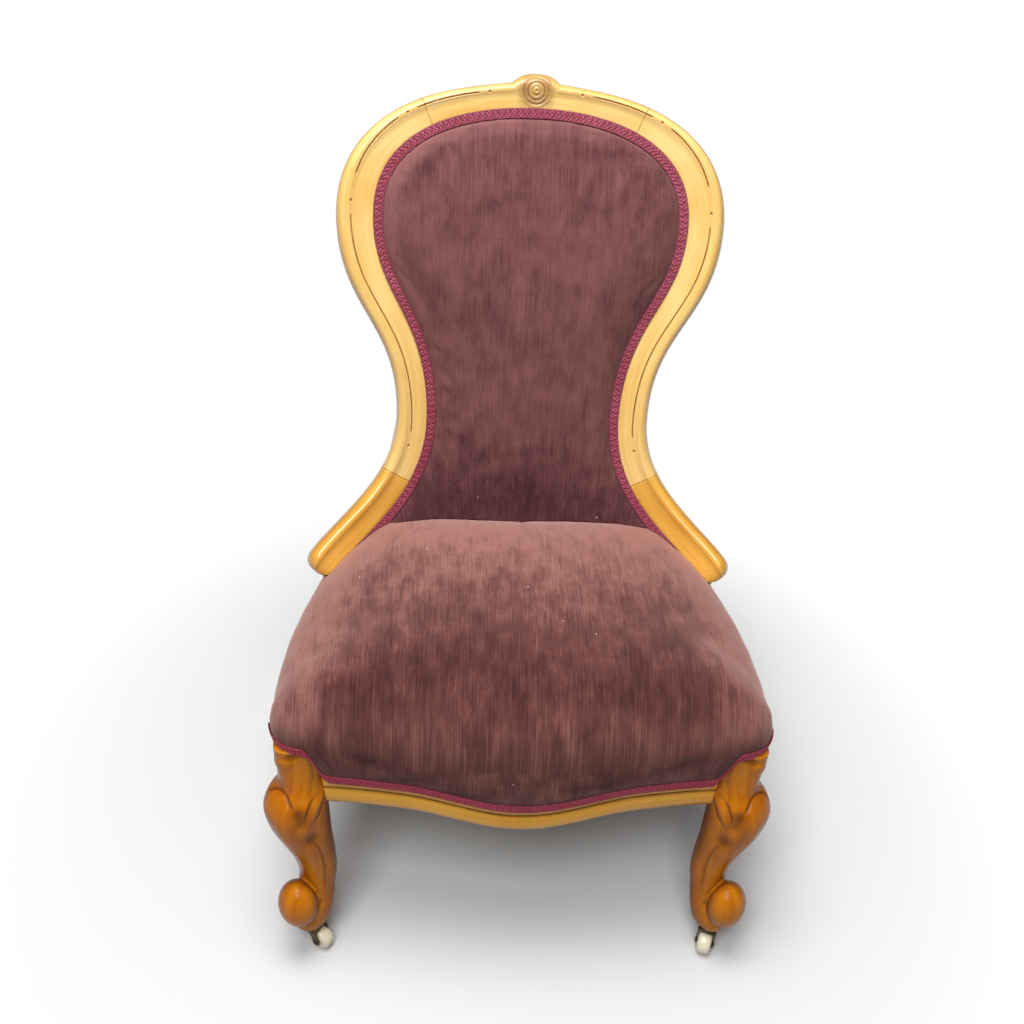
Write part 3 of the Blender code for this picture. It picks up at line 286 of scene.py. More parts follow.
def node(tree, kind, inputs=(), **settings):
    """A node with its settings, and its inputs set or linked by name or number."""
    made = tree.nodes.new(kind)
    for key, value in settings.items():
        setattr(made, key, value)
    for key, value in dict(inputs).items():
        link(tree, value, made.inputs[key])
    return made


def math_node(tree, operation, first, second=0.0, clamp=False):
    inputs = {0: first, 1: second}
    return node(tree, "ShaderNodeMath", inputs, operation=operation, use_clamp=clamp).outputs[0]


def weighed_sum(tree, *shares):
    """The sum of (value, weight) pairs, each value times its weight."""
    parts = [math_node(tree, "MULTIPLY", value, weight) for value, weight in shares]
    total = parts[0]
    for part in parts[1:]:
        total = math_node(tree, "ADD", total, part)
    return total


def mix_colour(tree, share, first, second):
    made = node(tree, "ShaderNodeMix", data_type="RGBA")
    link(tree, share, made.inputs["Factor"])
    link(tree, first, made.inputs["A"])
    link(tree, second, made.inputs["B"])
    return made.outputs["Result"]


def map_range(tree, value, low, high, to_low=0.0, to_high=1.0):
    settings = {"Value": value, "From Min": low, "From Max": high, "To Min": to_low, "To Max": to_high}
    return node(tree, "ShaderNodeMapRange", settings).outputs["Result"]


def stretched_noise(tree, vector, scale, detail=3.0, roughness=0.55):
    """Noise over a vector whose axes are each scaled."""
    moved = node(tree, "ShaderNodeVectorMath", {0: vector, 1: scale}, operation="MULTIPLY").outputs[0]
    inputs = {"Vector": moved, "Scale": 1.0, "Detail": detail, "Roughness": roughness}
    return node(tree, "ShaderNodeTexNoise", inputs).outputs["Fac"]


def group(name, inputs, outputs):
    """An empty shader group with these named sockets, its tree, inputs and output node."""
    tree = bpy.data.node_groups.new(name, "ShaderNodeTree")
    kinds = {"value": "NodeSocketFloat", "colour": "NodeSocketColor", "vector": "NodeSocketVector"}
    for direction, sockets in (("INPUT", inputs), ("OUTPUT", outputs)):
        for label, kind in sockets.items():
            tree.interface.new_socket(label, in_out=direction, socket_type=kinds[kind])
    return tree, tree.nodes.new("NodeGroupInput").outputs, tree.nodes.new("NodeGroupOutput").inputs


def attribute(tree, name):
    return node(tree, "ShaderNodeAttribute", attribute_name=name).outputs["Fac"]


def spot(tree):
    """The surface place of a piece, in metres along and across its grain, with its third axis left at 0."""
    inputs = {0: attribute(tree, "along"), 1: attribute(tree, "across")}
    return node(tree, "ShaderNodeCombineXYZ", inputs).outputs[0]


def object_place(tree):
    return node(tree, "ShaderNodeTexCoord").outputs["Object"]


SOCKETS = {"specular_ior_level": "Specular IOR Level"}


def material(name, build, **constants):
    """A Principled material whose build function links its changing sockets."""
    made = bpy.data.materials.new(name)
    made.use_nodes = True
    shader = made.node_tree.nodes["Principled BSDF"]
    for key, value in constants.items():
        shader.inputs[SOCKETS.get(key, key.replace("_", " ").title())].default_value = value
    build(made.node_tree, shader)
    return made


def use_group(tree, name, **inputs):
    made = node(tree, "ShaderNodeGroup", node_tree=bpy.data.node_groups[name])
    for key, value in inputs.items():
        link(tree, value, made.inputs[key.replace("_", " ").capitalize()])
    return made.outputs


def wear_bump(tree, shader, height, depth, strength=1.0):
    made = node(tree, "ShaderNodeBump", {"Strength": strength, "Distance": depth, "Height": height})
    tree.links.new(made.outputs["Normal"], shader.inputs["Normal"])


def wood_grain_group():
    """Polished wood: grain streaks, cloudy figure, pores, and dirt with painted shade in the carved hollows.
    """
    inputs = {"Place": "vector", "Hollow": "value", "Light": "colour", "Dark": "colour", "Deep": "colour"}
    outputs = {"Color": "colour", "Roughness": "value", "Height": "value"}
    tree, given, out = group("wood grain", inputs, outputs)
    place = given["Place"]
    streaks = stretched_noise(tree, place, (7.0, 190.0, 190.0), 5.0, 0.6)
    figure = stretched_noise(tree, place, (9.0, 16.0, 16.0), 2.0)
    pores = stretched_noise(tree, place, (60.0, 1500.0, 1500.0), 2.0)
    share = map_range(tree, weighed_sum(tree, (streaks, 0.55), (figure, 0.45)), 0.36, 0.64)
    colour = mix_colour(tree, share, given["Dark"], given["Light"])
    pore = map_range(tree, pores, 0.66, 0.76, 0.0, 0.35)
    colour = mix_colour(tree, pore, colour, given["Deep"])
    # The Hollow value mixes in the Deep colour: dirt and painted shade in carved grooves, rings and hollows,
    # and painted shade on the legs' inner sides.
    darkening = stretched_noise(tree, place, (35.0, 45.0, 45.0), 4.0)
    dirt_and_shade = math_node(tree, "MULTIPLY", given["Hollow"], map_range(tree, darkening, 0.25, 0.6, 0.65, 1.0), True)
    colour = mix_colour(tree, dirt_and_shade, colour, given["Deep"])
    link(tree, colour, out["Color"])
    rough = map_range(tree, darkening, 0.3, 0.7, 0.20, 0.34)
    link(tree, math_node(tree, "ADD", rough, math_node(tree, "MULTIPLY", dirt_and_shade, 0.25)), out["Roughness"])
    link(tree, math_node(tree, "SUBTRACT", math_node(tree, "MULTIPLY", streaks, 0.3), pore), out["Height"])


# Direction of the painted light: wood that faces it keeps its colours, and wood turned from it is painted
# darker.
PAINTED_LIGHT_SIDE = (0.0, -0.81, 0.58)


def wood(name, light, dark, deep, edge, has_grain=True, **constants):
    """Polished wood with painted light and shade: its own colours where it faces the front and up, and the
    edge colour mixed in as painted shade on its other sides.
    """

    def build(tree, shader):
        place = spot(tree) if has_grain else object_place(tree)
        hollow = attribute(tree, "hollow") if has_grain else 0.0
        made = use_group(tree, "wood grain", place=place, hollow=hollow, light=light, dark=dark, deep=deep)
        # Painted shade: the edge colour is mixed in where the surface turns from the painted light's side.
        normal = node(tree, "ShaderNodeTexCoord").outputs["Normal"]
        sides = {0: normal, 1: PAINTED_LIGHT_SIDE}
        lit = node(tree, "ShaderNodeVectorMath", sides, operation="DOT_PRODUCT").outputs["Value"]
        painted_shade_share = math_node(tree, "SUBTRACT", 1.0, math_node(tree, "ABSOLUTE", lit))
        turned = map_range(tree, math_node(tree, "POWER", painted_shade_share, 2.0), 0.06, 0.60, 0.0, 0.72)
        with_painted_shade = mix_colour(tree, turned, made["Color"], edge)
        link(tree, with_painted_shade, shader.inputs["Base Color"])
        link(tree, made["Roughness"], shader.inputs["Roughness"])
        wear_bump(tree, shader, made["Height"], 0.0001, 0.5)

    return material(name, build, **constants)


RIB_PITCH = 0.0021
LINT_COLOUR = (0.75, 0.66, 0.55, 1.0)


def velvet_group():
    """Ribbed velvet: fine uneven ribs along the pile, crushed cloudy patches and a little lint."""
    inputs = {"Place": "vector", "Shade": "value", "Light": "colour", "Middle": "colour", "Dark": "colour"}
    outputs = {"Color": "colour", "Roughness": "value", "Height": "value"}
    tree, given, out = group("ribbed velvet", inputs, outputs)
    place = given["Place"]
    across = node(tree, "ShaderNodeSeparateXYZ", {0: place}).outputs["Y"]
    sway = stretched_noise(tree, place, (14.0, 60.0, 0.0), 2.0)
    swayed = math_node(tree, "ADD", across, math_node(tree, "MULTIPLY", sway, 0.0012))
    ribs = math_node(tree, "SINE", math_node(tree, "MULTIPLY", swayed, 2 * math.pi / RIB_PITCH))
    strie = stretched_noise(tree, place, (22.0, 740.0, 0.0), 2.0, 0.6)
    threads = stretched_noise(tree, place, (5.0, 260.0, 0.0), 3.0, 0.6)
    crushed = stretched_noise(tree, place, (30.0, 46.0, 0.0), 5.0, 0.62)
    clouds = stretched_noise(tree, place, (7.0, 9.0, 0.0), 3.0)
    nap = weighed_sum(tree, (crushed, 0.40), (clouds, 0.20), (threads, 0.08), (strie, 0.32), (ribs, 0.012))
    # Painted light and shade: the Shade value lightens or darkens the pile's colour.
    nap = math_node(tree, "ADD", nap, given["Shade"])
    colour = mix_colour(tree, map_range(tree, nap, 0.38, 0.51), given["Dark"], given["Middle"])
    colour = mix_colour(tree, map_range(tree, nap, 0.50, 0.65), colour, given["Light"])
    lint = node(tree, "ShaderNodeTexVoronoi", {"Vector": place, "Scale": 55.0}).outputs
    rare = node(tree, "ShaderNodeSeparateColor", {0: lint["Color"]}).outputs[0]
    speck = math_node(tree, "LESS_THAN", lint["Distance"], 0.055)
    speck = math_node(tree, "MULTIPLY", speck, math_node(tree, "GREATER_THAN", rare, 0.90))
    colour = mix_colour(tree, math_node(tree, "MULTIPLY", speck, 0.6), colour, LINT_COLOUR)
    link(tree, colour, out["Color"])
    link(tree, map_range(tree, nap, 0.3, 0.7, 0.95, 0.75), out["Roughness"])
    link(tree, weighed_sum(tree, (ribs, 0.35), (strie, 1.0), (crushed, 1.2)), out["Height"])


def velvet(name, light, middle, dark, nap, **constants):
    """Velvet over the shared ribs, with painted sheen: a paler pile colour mixed into the base colour where
    the pile is seen along its side.
    """

    def build(tree, shader):
        colours = {"light": light, "middle": middle, "dark": dark}
        made = use_group(tree, "ribbed velvet", place=spot(tree), shade=attribute(tree, "shade"), **colours)
        # Painted sheen: Layer Weight facing mixes the paler pile colour into the base colour, more where the
        # pile is raised.
        facing = node(tree, "ShaderNodeLayerWeight", {"Blend": 0.5}).outputs["Facing"]
        edge = math_node(tree, "POWER", facing, 2.2)
        edge = math_node(tree, "MULTIPLY", edge, attribute(tree, "nap"))
        raised = map_range(tree, made["Height"], 0.5, 1.6, 0.55, 1.0)
        painted_sheen_share = math_node(tree, "MULTIPLY", edge, raised, True)
        link(tree, mix_colour(tree, painted_sheen_share, made["Color"], nap), shader.inputs["Base Color"])
        link(tree, made["Roughness"], shader.inputs["Roughness"])
        wear_bump(tree, shader, made["Height"], 0.00035, 0.7)

    return material(name, build, **constants)


def weave_group():
    """Plain cloth threads at a given pitch, over and under each other."""
    inputs = {"Place": "vector", "Pitch": "value", "Light": "colour", "Dark": "colour"}
    tree, given, out = group("plain weave", inputs, {"Color": "colour", "Height": "value"})
    parts = node(tree, "ShaderNodeSeparateXYZ", {0: given["Place"]}).outputs
    turn = math_node(tree, "DIVIDE", math.pi, given["Pitch"])
    waves = [math_node(tree, "SINE", math_node(tree, "MULTIPLY", parts[i], turn)) for i in (0, 1)]
    over = math_node(tree, "MULTIPLY", waves[0], waves[1])
    slub = stretched_noise(tree, given["Place"], (220.0, 220.0, 220.0), 4.0)
    height = weighed_sum(tree, (math_node(tree, "ABSOLUTE", over), 1.0), (slub, 0.5))
    colour = mix_colour(tree, map_range(tree, height, 0.2, 1.2), given["Dark"], given["Light"])
    link(tree, colour, out["Color"])
    link(tree, height, out["Height"])


def cloth(name, light, dark, pitch, depth, **constants):
    def build(tree, shader):
        made = use_group(tree, "plain weave", place=spot(tree), pitch=pitch, light=light, dark=dark)
        link(tree, made["Color"], shader.inputs["Base Color"])
        wear_bump(tree, shader, made["Height"], depth, 0.8)

    return material(name, build, **constants)


def gimp_material(name, ground, cords, worn):
    """Burgundy gimp: raised silky cords over a darker ground, paler where they are worn."""

    def build(tree, shader):
        cord = attribute(tree, "cord")
        thread = stretched_noise(tree, spot(tree), (900.0, 500.0, 0.0), 2.0)
        faded = stretched_noise(tree, spot(tree), (14.0, 30.0, 0.0), 2.0)
        share = weighed_sum(tree, (cord, 1.0), (math_node(tree, "SUBTRACT", thread, 0.5), 0.9))
        colour = mix_colour(tree, map_range(tree, share, 0.15, 0.95), ground, cords)
        raised = map_range(tree, share, 0.5, 1.1)
        light = math_node(tree, "MULTIPLY", map_range(tree, faded, 0.45, 0.7), raised)
        colour = mix_colour(tree, math_node(tree, "MULTIPLY", light, 0.55), colour, worn)
        link(tree, colour, shader.inputs["Base Color"])
        wear_bump(tree, shader, thread, 0.0003, 0.6)

    return material(name, build, roughness=0.6, sheen_weight=0.18, sheen_roughness=0.4)


def metal(name, light, dark, roughness, metallic=1.0):
    """Old metal or glazed ware: cloudy tarnish and fine scuffs."""

    def build(tree, shader):
        place = object_place(tree)
        cloud = stretched_noise(tree, place, (120.0, 120.0, 120.0), 5.0, 0.65)
        scuff = stretched_noise(tree, place, (900.0, 900.0, 200.0), 3.0)
        colour = mix_colour(tree, map_range(tree, cloud, 0.35, 0.65), dark, light)
        link(tree, colour, shader.inputs["Base Color"])
        worn = math_node(tree, "MULTIPLY", scuff, 0.25)
        link(tree, math_node(tree, "ADD", worn, roughness), shader.inputs["Roughness"])
        wear_bump(tree, shader, scuff, 0.00005, 0.5)

    return material(name, build, metallic=metallic)


# In each wood below, edge is the colour of its painted shade.
wood_grain_group()
velvet_group()
weave_group()
# The honey frame is paler than the amber legs partly by its own tone and partly by painted light: highlights
# of its lit faces put into its colour.
HONEY = wood(
    "honey wood", light=(0.93, 0.655, 0.25, 1), dark=(0.80, 0.46, 0.105, 1),
    deep=(0.20, 0.060, 0.010, 1), edge=(0.42, 0.155, 0.012, 1),
    coat_weight=0.30, coat_roughness=0.16,
)
RAIL = wood(
    "rail wood", light=(0.92, 0.47, 0.052, 1), dark=(0.76, 0.33, 0.024, 1),
    deep=(0.14, 0.040, 0.006, 1), edge=(0.30, 0.090, 0.008, 1),
    coat_weight=0.12, coat_roughness=0.18, specular_ior_level=0.25,
)
AMBER = wood(
    "amber wood", light=(0.66, 0.225, 0.008, 1), dark=(0.42, 0.105, 0.003, 1),
    deep=(0.060, 0.012, 0.002, 1), edge=(0.13, 0.026, 0.002, 1),
    coat_weight=0.09, coat_roughness=0.20, specular_ior_level=0.12,
)
GOLDEN = wood(
    "golden arm wood", light=(0.86, 0.47, 0.080, 1), dark=(0.70, 0.32, 0.038, 1),
    deep=(0.16, 0.042, 0.007, 1), edge=(0.36, 0.115, 0.008, 1),
    coat_weight=0.35, coat_roughness=0.15,
)
BARE = wood(
    "bare wood", light=(0.50, 0.33, 0.17, 1), dark=(0.36, 0.21, 0.10, 1),
    deep=(0.12, 0.07, 0.03, 1), edge=(0.30, 0.17, 0.08, 1), has_grain=False,
)
# In each velvet, nap is the paler colour of its painted sheen.
SEAT_VELVET = velvet(
    "seat velvet", light=(0.29, 0.122, 0.102, 1), middle=(0.135, 0.046, 0.040, 1),
    dark=(0.062, 0.018, 0.019, 1), nap=(0.60, 0.34, 0.29, 1),
    sheen_weight=0.30, sheen_roughness=0.40, sheen_tint=(1.0, 0.72, 0.66, 1), specular_ior_level=0.15,
)
BACK_VELVET = velvet(
    "back velvet", light=(0.215, 0.084, 0.083, 1), middle=(0.140, 0.048, 0.050, 1),
    dark=(0.070, 0.021, 0.026, 1), nap=(0.42, 0.24, 0.22, 1),
    sheen_weight=0.25, sheen_roughness=0.40, sheen_tint=(1.0, 0.74, 0.70, 1), specular_ior_level=0.15,
)
GIMP = gimp_material(
    "back gimp", ground=(0.085, 0.008, 0.020, 1), cords=(0.36, 0.042, 0.080, 1), worn=(0.62, 0.16, 0.24, 1),
)
# The seat gimp is partly a redder tone and partly painted light: a brighter copy of the back gimp against the
# shade under the seat's overhang.
SEAT_GIMP = gimp_material(
    "seat gimp", ground=(0.15, 0.005, 0.024, 1), cords=(0.50, 0.016, 0.064, 1), worn=(0.72, 0.075, 0.15, 1),
)
HESSIAN = cloth("hessian", (0.46, 0.34, 0.18, 1), (0.16, 0.10, 0.045, 1), 0.0016, 0.0005, roughness=0.95)
WEBBING = cloth("jute webbing", (0.52, 0.43, 0.28, 1), (0.24, 0.17, 0.09, 1), 0.0024, 0.0006, roughness=0.9)
BRASS = metal("old brass", (0.16, 0.11, 0.055, 1), (0.05, 0.036, 0.022, 1), 0.35)
STEEL = metal("spring wire", (0.26, 0.24, 0.22, 1), (0.12, 0.085, 0.06, 1), 0.35)
CERAMIC = metal("ivory ceramic", (0.98, 0.91, 0.70, 1), (0.91, 0.80, 0.56, 1), 0.10, 0.0)


# Back frame: the show-wood band, its groove and its rosette


def bezier(a, b, c, d, t):
    a, b, c, d = (np.array(point) for point in (a, b, c, d))
    return (1 - t) ** 3 * a + 3 * (1 - t) ** 2 * t * b + 3 * (1 - t) * t**2 * c + t**3 * d


def frame_line(t):
    """(x, z) of the band's middle on the right: t is 0 at the crest, 1 shoulder, 2 waist, 3 arm end."""
    if t <= 1:
        return bezier(
            (0, CREST_Z), (CREST_REACH, CREST_Z),
            (SHOULDER_X, SHOULDER_Z + SHOULDER_RISE), (SHOULDER_X, SHOULDER_Z), t,
        )
    if t <= 2:
        return bezier(
            (SHOULDER_X, SHOULDER_Z), (SHOULDER_X, SHOULDER_Z - SHOULDER_DROP),
            (WAIST_X, WAIST_Z + WAIST_RISE), (WAIST_X, WAIST_Z), t - 1,
        )
    before = (ARM_END_X - ARM_REACH * math.cos(ARM_SLOPE), ARM_END_Z + ARM_REACH * math.sin(ARM_SLOPE))
    return bezier((WAIST_X, WAIST_Z), (WAIST_X, WAIST_Z - WAIST_DROP), before, (ARM_END_X, ARM_END_Z), t - 2)


def spoon_y(x, z):
    up = z - WAIST_Z
    curl = CURL_TOP + CURL_WAIST * np.exp(-up / CURL_FADE)
    return BACK_Y + BACK_RAKE * up + BACK_BOW * up * up - curl * x * x


def spoon_point(x, z):
    return np.array((x, spoon_y(x, z), z))


def spoon_front(x, z):
    """Unit normals of the spoon surface, towards the sitter."""
    step = 0.0005
    along_x = (spoon_y(x + step, z) - spoon_y(x - step, z)) / (2 * step)
    along_z = (spoon_y(x, z + step) - spoon_y(x, z - step)) / (2 * step)
    normal = np.stack((along_x, np.full(np.shape(x), -1.0), along_z), axis=-1)
    return unit(normal)


def band_axes(t):
    """Point, tangent, front normal and outward direction of the band at t."""
    step = 0.001
    before = spoon_point(*frame_line(max(t - step, 0)))
    after = spoon_point(*frame_line(min(t + step, 3)))
    tangent = unit(after - before)
    point = spoon_point(*frame_line(t))
    front = spoon_front(point[0], point[2])
    front = unit(front - tangent * front.dot(tangent))
    return point, tangent, front, np.cross(front, tangent)


def band_width(t):
    stations = (CREST_BAND, SHOULDER_BAND, WAIST_BAND, ARM_BAND)
    low = min(int(t), 2)
    return stations[low] + (stations[low + 1] - stations[low]) * smooth(t - low)


def band_run(t):
    """Length of the band from the crest's middle to t."""
    return float(np.interp(t, RUN_STATIONS, RUN_LENGTHS))


def stations_at(lengths):
    """Stations of the band at these lengths from the crest's middle."""
    return np.interp(lengths, RUN_LENGTHS, RUN_STATIONS)


RUN_STATIONS = np.linspace(0, 3, 601)
RUN_POINTS = np.array([spoon_point(*frame_line(t)) for t in RUN_STATIONS])
RUN_LENGTHS = lengths_along(RUN_POINTS)
CREST_JOINT = float(np.interp(CREST_JOINT_X, RUN_POINTS[:201, 0], RUN_STATIONS[:201]))
ARM_JOINT = float(np.interp(-ARM_JOINT_Z, -RUN_POINTS[400:, 2], RUN_STATIONS[400:]))

# The section's front, from the inner margin over the outer roll, and its back
# Both are in shares of the band's half-width and depth
FRONT_ACROSS = (-1.0, -0.75, -0.35, 0.0, 0.18, 0.45, 0.68, 0.85, 0.95, 1.0)
FRONT_RISE = (0.50, 0.62, 0.71, 0.77, 0.84, 0.98, 0.95, 0.72, 0.42, 0.10)
BACK_CORNERS = ((1.0, 0.10), (0.97, -0.50), (0.66, -1.0), (-0.62, -1.0), (-1.0, -0.80), (-1.0, 0.50))
BACK_LINE = rounded(BACK_CORNERS, 2, closed=False)

# The groove: its place across the band by station, its lines from station to station, and their end dots
GROOVE_HALF, GROOVE_DEPTH = 0.0020, 0.0015
GROOVE_OFFSETS = ((0.0, 0.45, 1.0, 1.5, 2.15), (0.20, 0.24, 0.11, 0.06, 0.0))
GROOVE_LINES = ((0.167, 0.410), (0.487, 0.822), (0.994, 2.083))
GROOVE_DOTS = (0.138, 0.448, 0.938, 2.144)
DOT_RADIUS, DOT_DEPTH = 0.0014, 0.0019

# The rosette: its raised steps as (radius, height), and the rings cut between them as (radius, depth)
BOSS_HALF, SHELF_HALF, ROSETTE_REACH = 0.027, 0.076, 0.03
ROSETTE_STEPS = ((0.024, 0.0012), (0.0150, 0.0012), (0.0085, 0.0010))
ROSETTE_RINGS = ((0.0050, 0.0011), (0.0100, 0.0012), (0.0150, 0.0011), (0.0200, 0.0005))
RING_WIDTH, PIERCED_DEPTH, PIERCED_RADIUS = 0.0009, 0.0016, 0.0013


def hermite(xs, ys, x):
    """A smooth curve through points, with slopes from their neighbours."""
    xs, ys = np.asarray(xs, float), np.asarray(ys, float)
    slopes = np.gradient(ys, xs)
    i = np.clip(np.searchsorted(xs, x, "right") - 1, 0, len(xs) - 2)
    gap = xs[i + 1] - xs[i]
    u = (x - xs[i]) / gap
    low = (1 + 2 * u) * (1 - u) ** 2 * ys[i] + u * (1 - u) ** 2 * gap * slopes[i]
    return low + u * u * (3 - 2 * u) * ys[i + 1] - u * u * (1 - u) * gap * slopes[i + 1]


def crest_lobe(x):
    """Rise of the crest's top edge round the rosette, with a low shoulder at each side."""
    boss = 0.80 * np.maximum(1 - np.abs(x / BOSS_HALF) ** 2.4, 0) ** 0.8
    return LOBE_RISE * (boss + 0.22 * bump(x / SHELF_HALF))


def rosette(x, up):
    """Carved height at an offset from the rosette's middle: stepped rings round a pierced button."""
    far = np.hypot(x, up)
    rise = sum(height * bump(far / radius) for radius, height in ROSETTE_STEPS)
    for radius, deep in ROSETTE_RINGS:
        rise = rise - deep * np.exp(-(((far - radius) / RING_WIDTH) ** 2))
    return rise - PIERCED_DEPTH * np.exp(-((far / PIERCED_RADIUS) ** 2))


def groove_mask(run):
    """1 along the groove's lines and 0 past their ends, by length along the band."""
    mask = 0.0
    for start, stop in GROOVE_LINES:
        inside = min(run - band_run(start), band_run(stop) - run)
        mask = max(mask, float(smooth(inside / 0.004)))
    return mask


def dot_depth(run, across):
    """Depth of the punched dots that end the groove's lines."""
    deep = np.zeros(np.shape(across))
    for t in GROOVE_DOTS:
        far = np.hypot(run - band_run(t), across)
        deep = np.maximum(deep, DOT_DEPTH * bump(far / (1.5 * DOT_RADIUS)))
    return deep


def band_ring(t, front_points, carved=True, shrink=1.0, ahead=0.0):
    """One fine section of the band at t: points, hollow values and places across the grain."""
    point, tangent, front, out = band_axes(t)
    inner = band_width(t) / 2 + BRAID_WIDTH / 2
    outer = band_width(t) / 2 + crest_lobe(point[0])
    run = band_run(t)
    middle = float(np.interp(t, *GROOVE_OFFSETS)) * band_width(t)
    half = GROOVE_HALF
    lower = front_points * 2 // 5
    offsets = np.concatenate((
        np.linspace(-inner, middle - half, lower, endpoint=False),
        np.linspace(middle - half, middle + half, 12, endpoint=False),
        middle + half + (outer - middle - half) * np.sin(np.linspace(0, math.pi / 2, front_points - lower)),
    ))
    share = np.where(offsets > 0, offsets / outer, offsets / inner)
    rise = BAND_FRONT * hermite(FRONT_ACROSS, FRONT_RISE, share)
    hollow = np.zeros(len(offsets))
    if carved:
        cut = GROOVE_DEPTH * groove_mask(run) * np.clip(1 - np.abs(offsets - middle) / (0.55 * half), 0, 1)
        cut = np.maximum(cut, dot_depth(run, offsets - middle))
        # The groove and its dots are darkened by their depth through the hollow values: dirt and painted
        # shade.
        hollow = np.clip(cut / 0.0011, 0, 1)
        if point[0] < ROSETTE_REACH:
            up = offsets - (ROSETTE_Z - CREST_Z)
            carving = rosette(point[0], up)
            cut = cut - carving * bump(point[0] / ROSETTE_REACH)
            # The rosette is darkened, most in its cut rings: dirt and painted shade.
            darkening = np.clip(1.0 - carving / 0.0026, 0.40, 1)
            hollow = np.maximum(hollow, darkening * bump((point[0] / 0.026) ** 2) * bump((up / 0.023) ** 2))
        rise = rise - cut
    back = np.where(BACK_LINE[:, 0] > 0, BACK_LINE[:, 0] * outer, BACK_LINE[:, 0] * inner)
    deep = np.where(BACK_LINE[:, 1] > 0, BACK_LINE[:, 1] * BAND_FRONT, BACK_LINE[:, 1] * BAND_BACK)
    side = np.concatenate((offsets, back[1:-1]))[:, None] * shrink
    height = np.concatenate((rise, deep[1:-1]))[:, None] * shrink
    ring = point + tangent * ahead + out * side + front * height
    around = np.concatenate((offsets, outer + np.arange(len(back) - 2) * 0.003))
    return ring, np.concatenate((hollow, np.zeros(len(back) - 2))), around


def band_mesh(name, stations, side, front_points, carved=True, both=False, ends=()):
    """A length of band through these stations, mirrored for the left, or run to both sides."""
    made = [(*band_ring(t, front_points, carved), band_run(t)) for t in stations]
    made += [(*band_ring(3, front_points, False, *end), band_run(3) + end[1]) for end in ends]
    rows = [(ring * (side, 1, 1), hollow, across, run) for ring, hollow, across, run in made]
    if both:
        other = [(ring * (-1, 1, 1), hollow, across, -run) for ring, hollow, across, run in rows[:0:-1]]
        rows = other + rows
    rings, hollow, across, run = zip(*rows)
    return skin(
        name, rings, wrap=True, caps=True, hollow=np.array(hollow), across=np.array(across),
        along=np.array(run)[:, None],
    )


OPEN_JOINT = 0.0004


def joint_gap(t):
    """The step in t that leaves a fine open joint between two lengths of band."""
    step = 0.01
    return step * OPEN_JOINT / (band_run(t + step) - band_run(t))


def crest_rail():
    """The crest between its two joints, with the carved rosette in its raised middle."""
    near = stations_at(np.arange(0, BOSS_HALF, 0.0006))
    far = np.linspace(near[-1], CREST_JOINT, 76)[1:]
    mesh = band_mesh("crest_rail", (*near, *far), 1, 84, both=True)
    piece("show_crest_rail", mesh, HONEY, stands_for=["crest_rail"])


def post_centre(z):
    """(x, y) of the back post's lower length, from inside the band down to the foot."""
    above = smooth((POST_TOP_Z - z) / (POST_TOP_Z - POST_SEAT_Z))
    below = max(POST_SEAT_Z - z, 0) / (POST_SEAT_Z - FOOT_Z)
    x = WAIST_X + (POST_SEAT_X - WAIST_X) * above + (REAR_FOOT_X - POST_SEAT_X) * below
    y = max(spoon_y(x, z) + (BAND_BACK - BAND_FRONT) / 2, POST_SEAT_Y)
    if z < POST_SEAT_Z:
        y = POST_SEAT_Y + (REAR_FOOT_Y - POST_SEAT_Y) * below**REAR_SWEEP
    return x, y


def post_half(z):
    """Half-width and half-depth of the post's lower length, which swells towards the seat."""
    swell = smooth((POST_TOP_Z - z) / (POST_TOP_Z - POST_SEAT_Z))
    taper = smooth((POST_SEAT_Z - z) / (POST_SEAT_Z - FOOT_Z))
    top_wide, top_deep = WAIST_BAND * 0.42, BAND_FRONT - 0.0035
    wide = top_wide + (POST_HALF - top_wide) * swell
    deep = top_deep + (POST_HALF - top_deep) * swell
    return wide + (REAR_FOOT_HALF - POST_HALF) * taper, deep + (REAR_FOOT_HALF - POST_HALF) * taper


def level_ring(x, y, z, wide, deep, square, count):
    """A level superellipse, which is a rounded rectangle for a high square."""
    angles = (np.arange(count) + 0.5) * 2 * math.pi / count
    c, s = np.cos(angles), np.sin(angles)
    size = (np.abs(c) ** square + np.abs(s) ** square) ** (-1 / square)
    return np.stack((x + wide * c * size, y + deep * s * size, np.full(count, z)), axis=1)


def level_loft(name, stations, side, count=40):
    """A post or block through level rings: (x, y, z, half-width, half-depth, squareness)."""
    rows = [level_ring(*station, count) * (side, 1, 1) for station in stations]
    heights = np.array([station[2] for station in stations])[:, None]
    order = np.arange(count)[None]
    around = np.minimum(order, count - order) * 0.003
    return skin(name, rows, wrap=True, caps=True, hollow=0.0, along=heights, across=around)


def back_posts():
    """Each post runs from the crest's joint down the back, past the arm's scarf and on as the rear leg."""
    above = np.linspace(POST_TOP_Z, POST_SEAT_Z, 40)
    below = np.linspace(POST_SEAT_Z, FOOT_Z, 60)[1:]
    stations = [(*post_centre(z), z, *post_half(z), POST_SQUARE) for z in (*above, *below)]
    first = CREST_JOINT + joint_gap(CREST_JOINT)
    bands = stations_at(np.linspace(band_run(first), band_run(ARM_JOINT), 430))
    for word, side in SIDES.items():
        band = band_mesh(f"{word}_band", bands, side, 40)
        lower = level_loft(f"{word}_lower", stations, side)
        mesh = united(f"{word}_back_post", band, lower)
        piece(f"show_{word}_back_post", mesh, HONEY, stands_for=[f"{word}_back_post"])


STUMP_WIDE, STUMP_DEEP, STUMP_SQUARE = 0.0105, 0.0125, 2.6


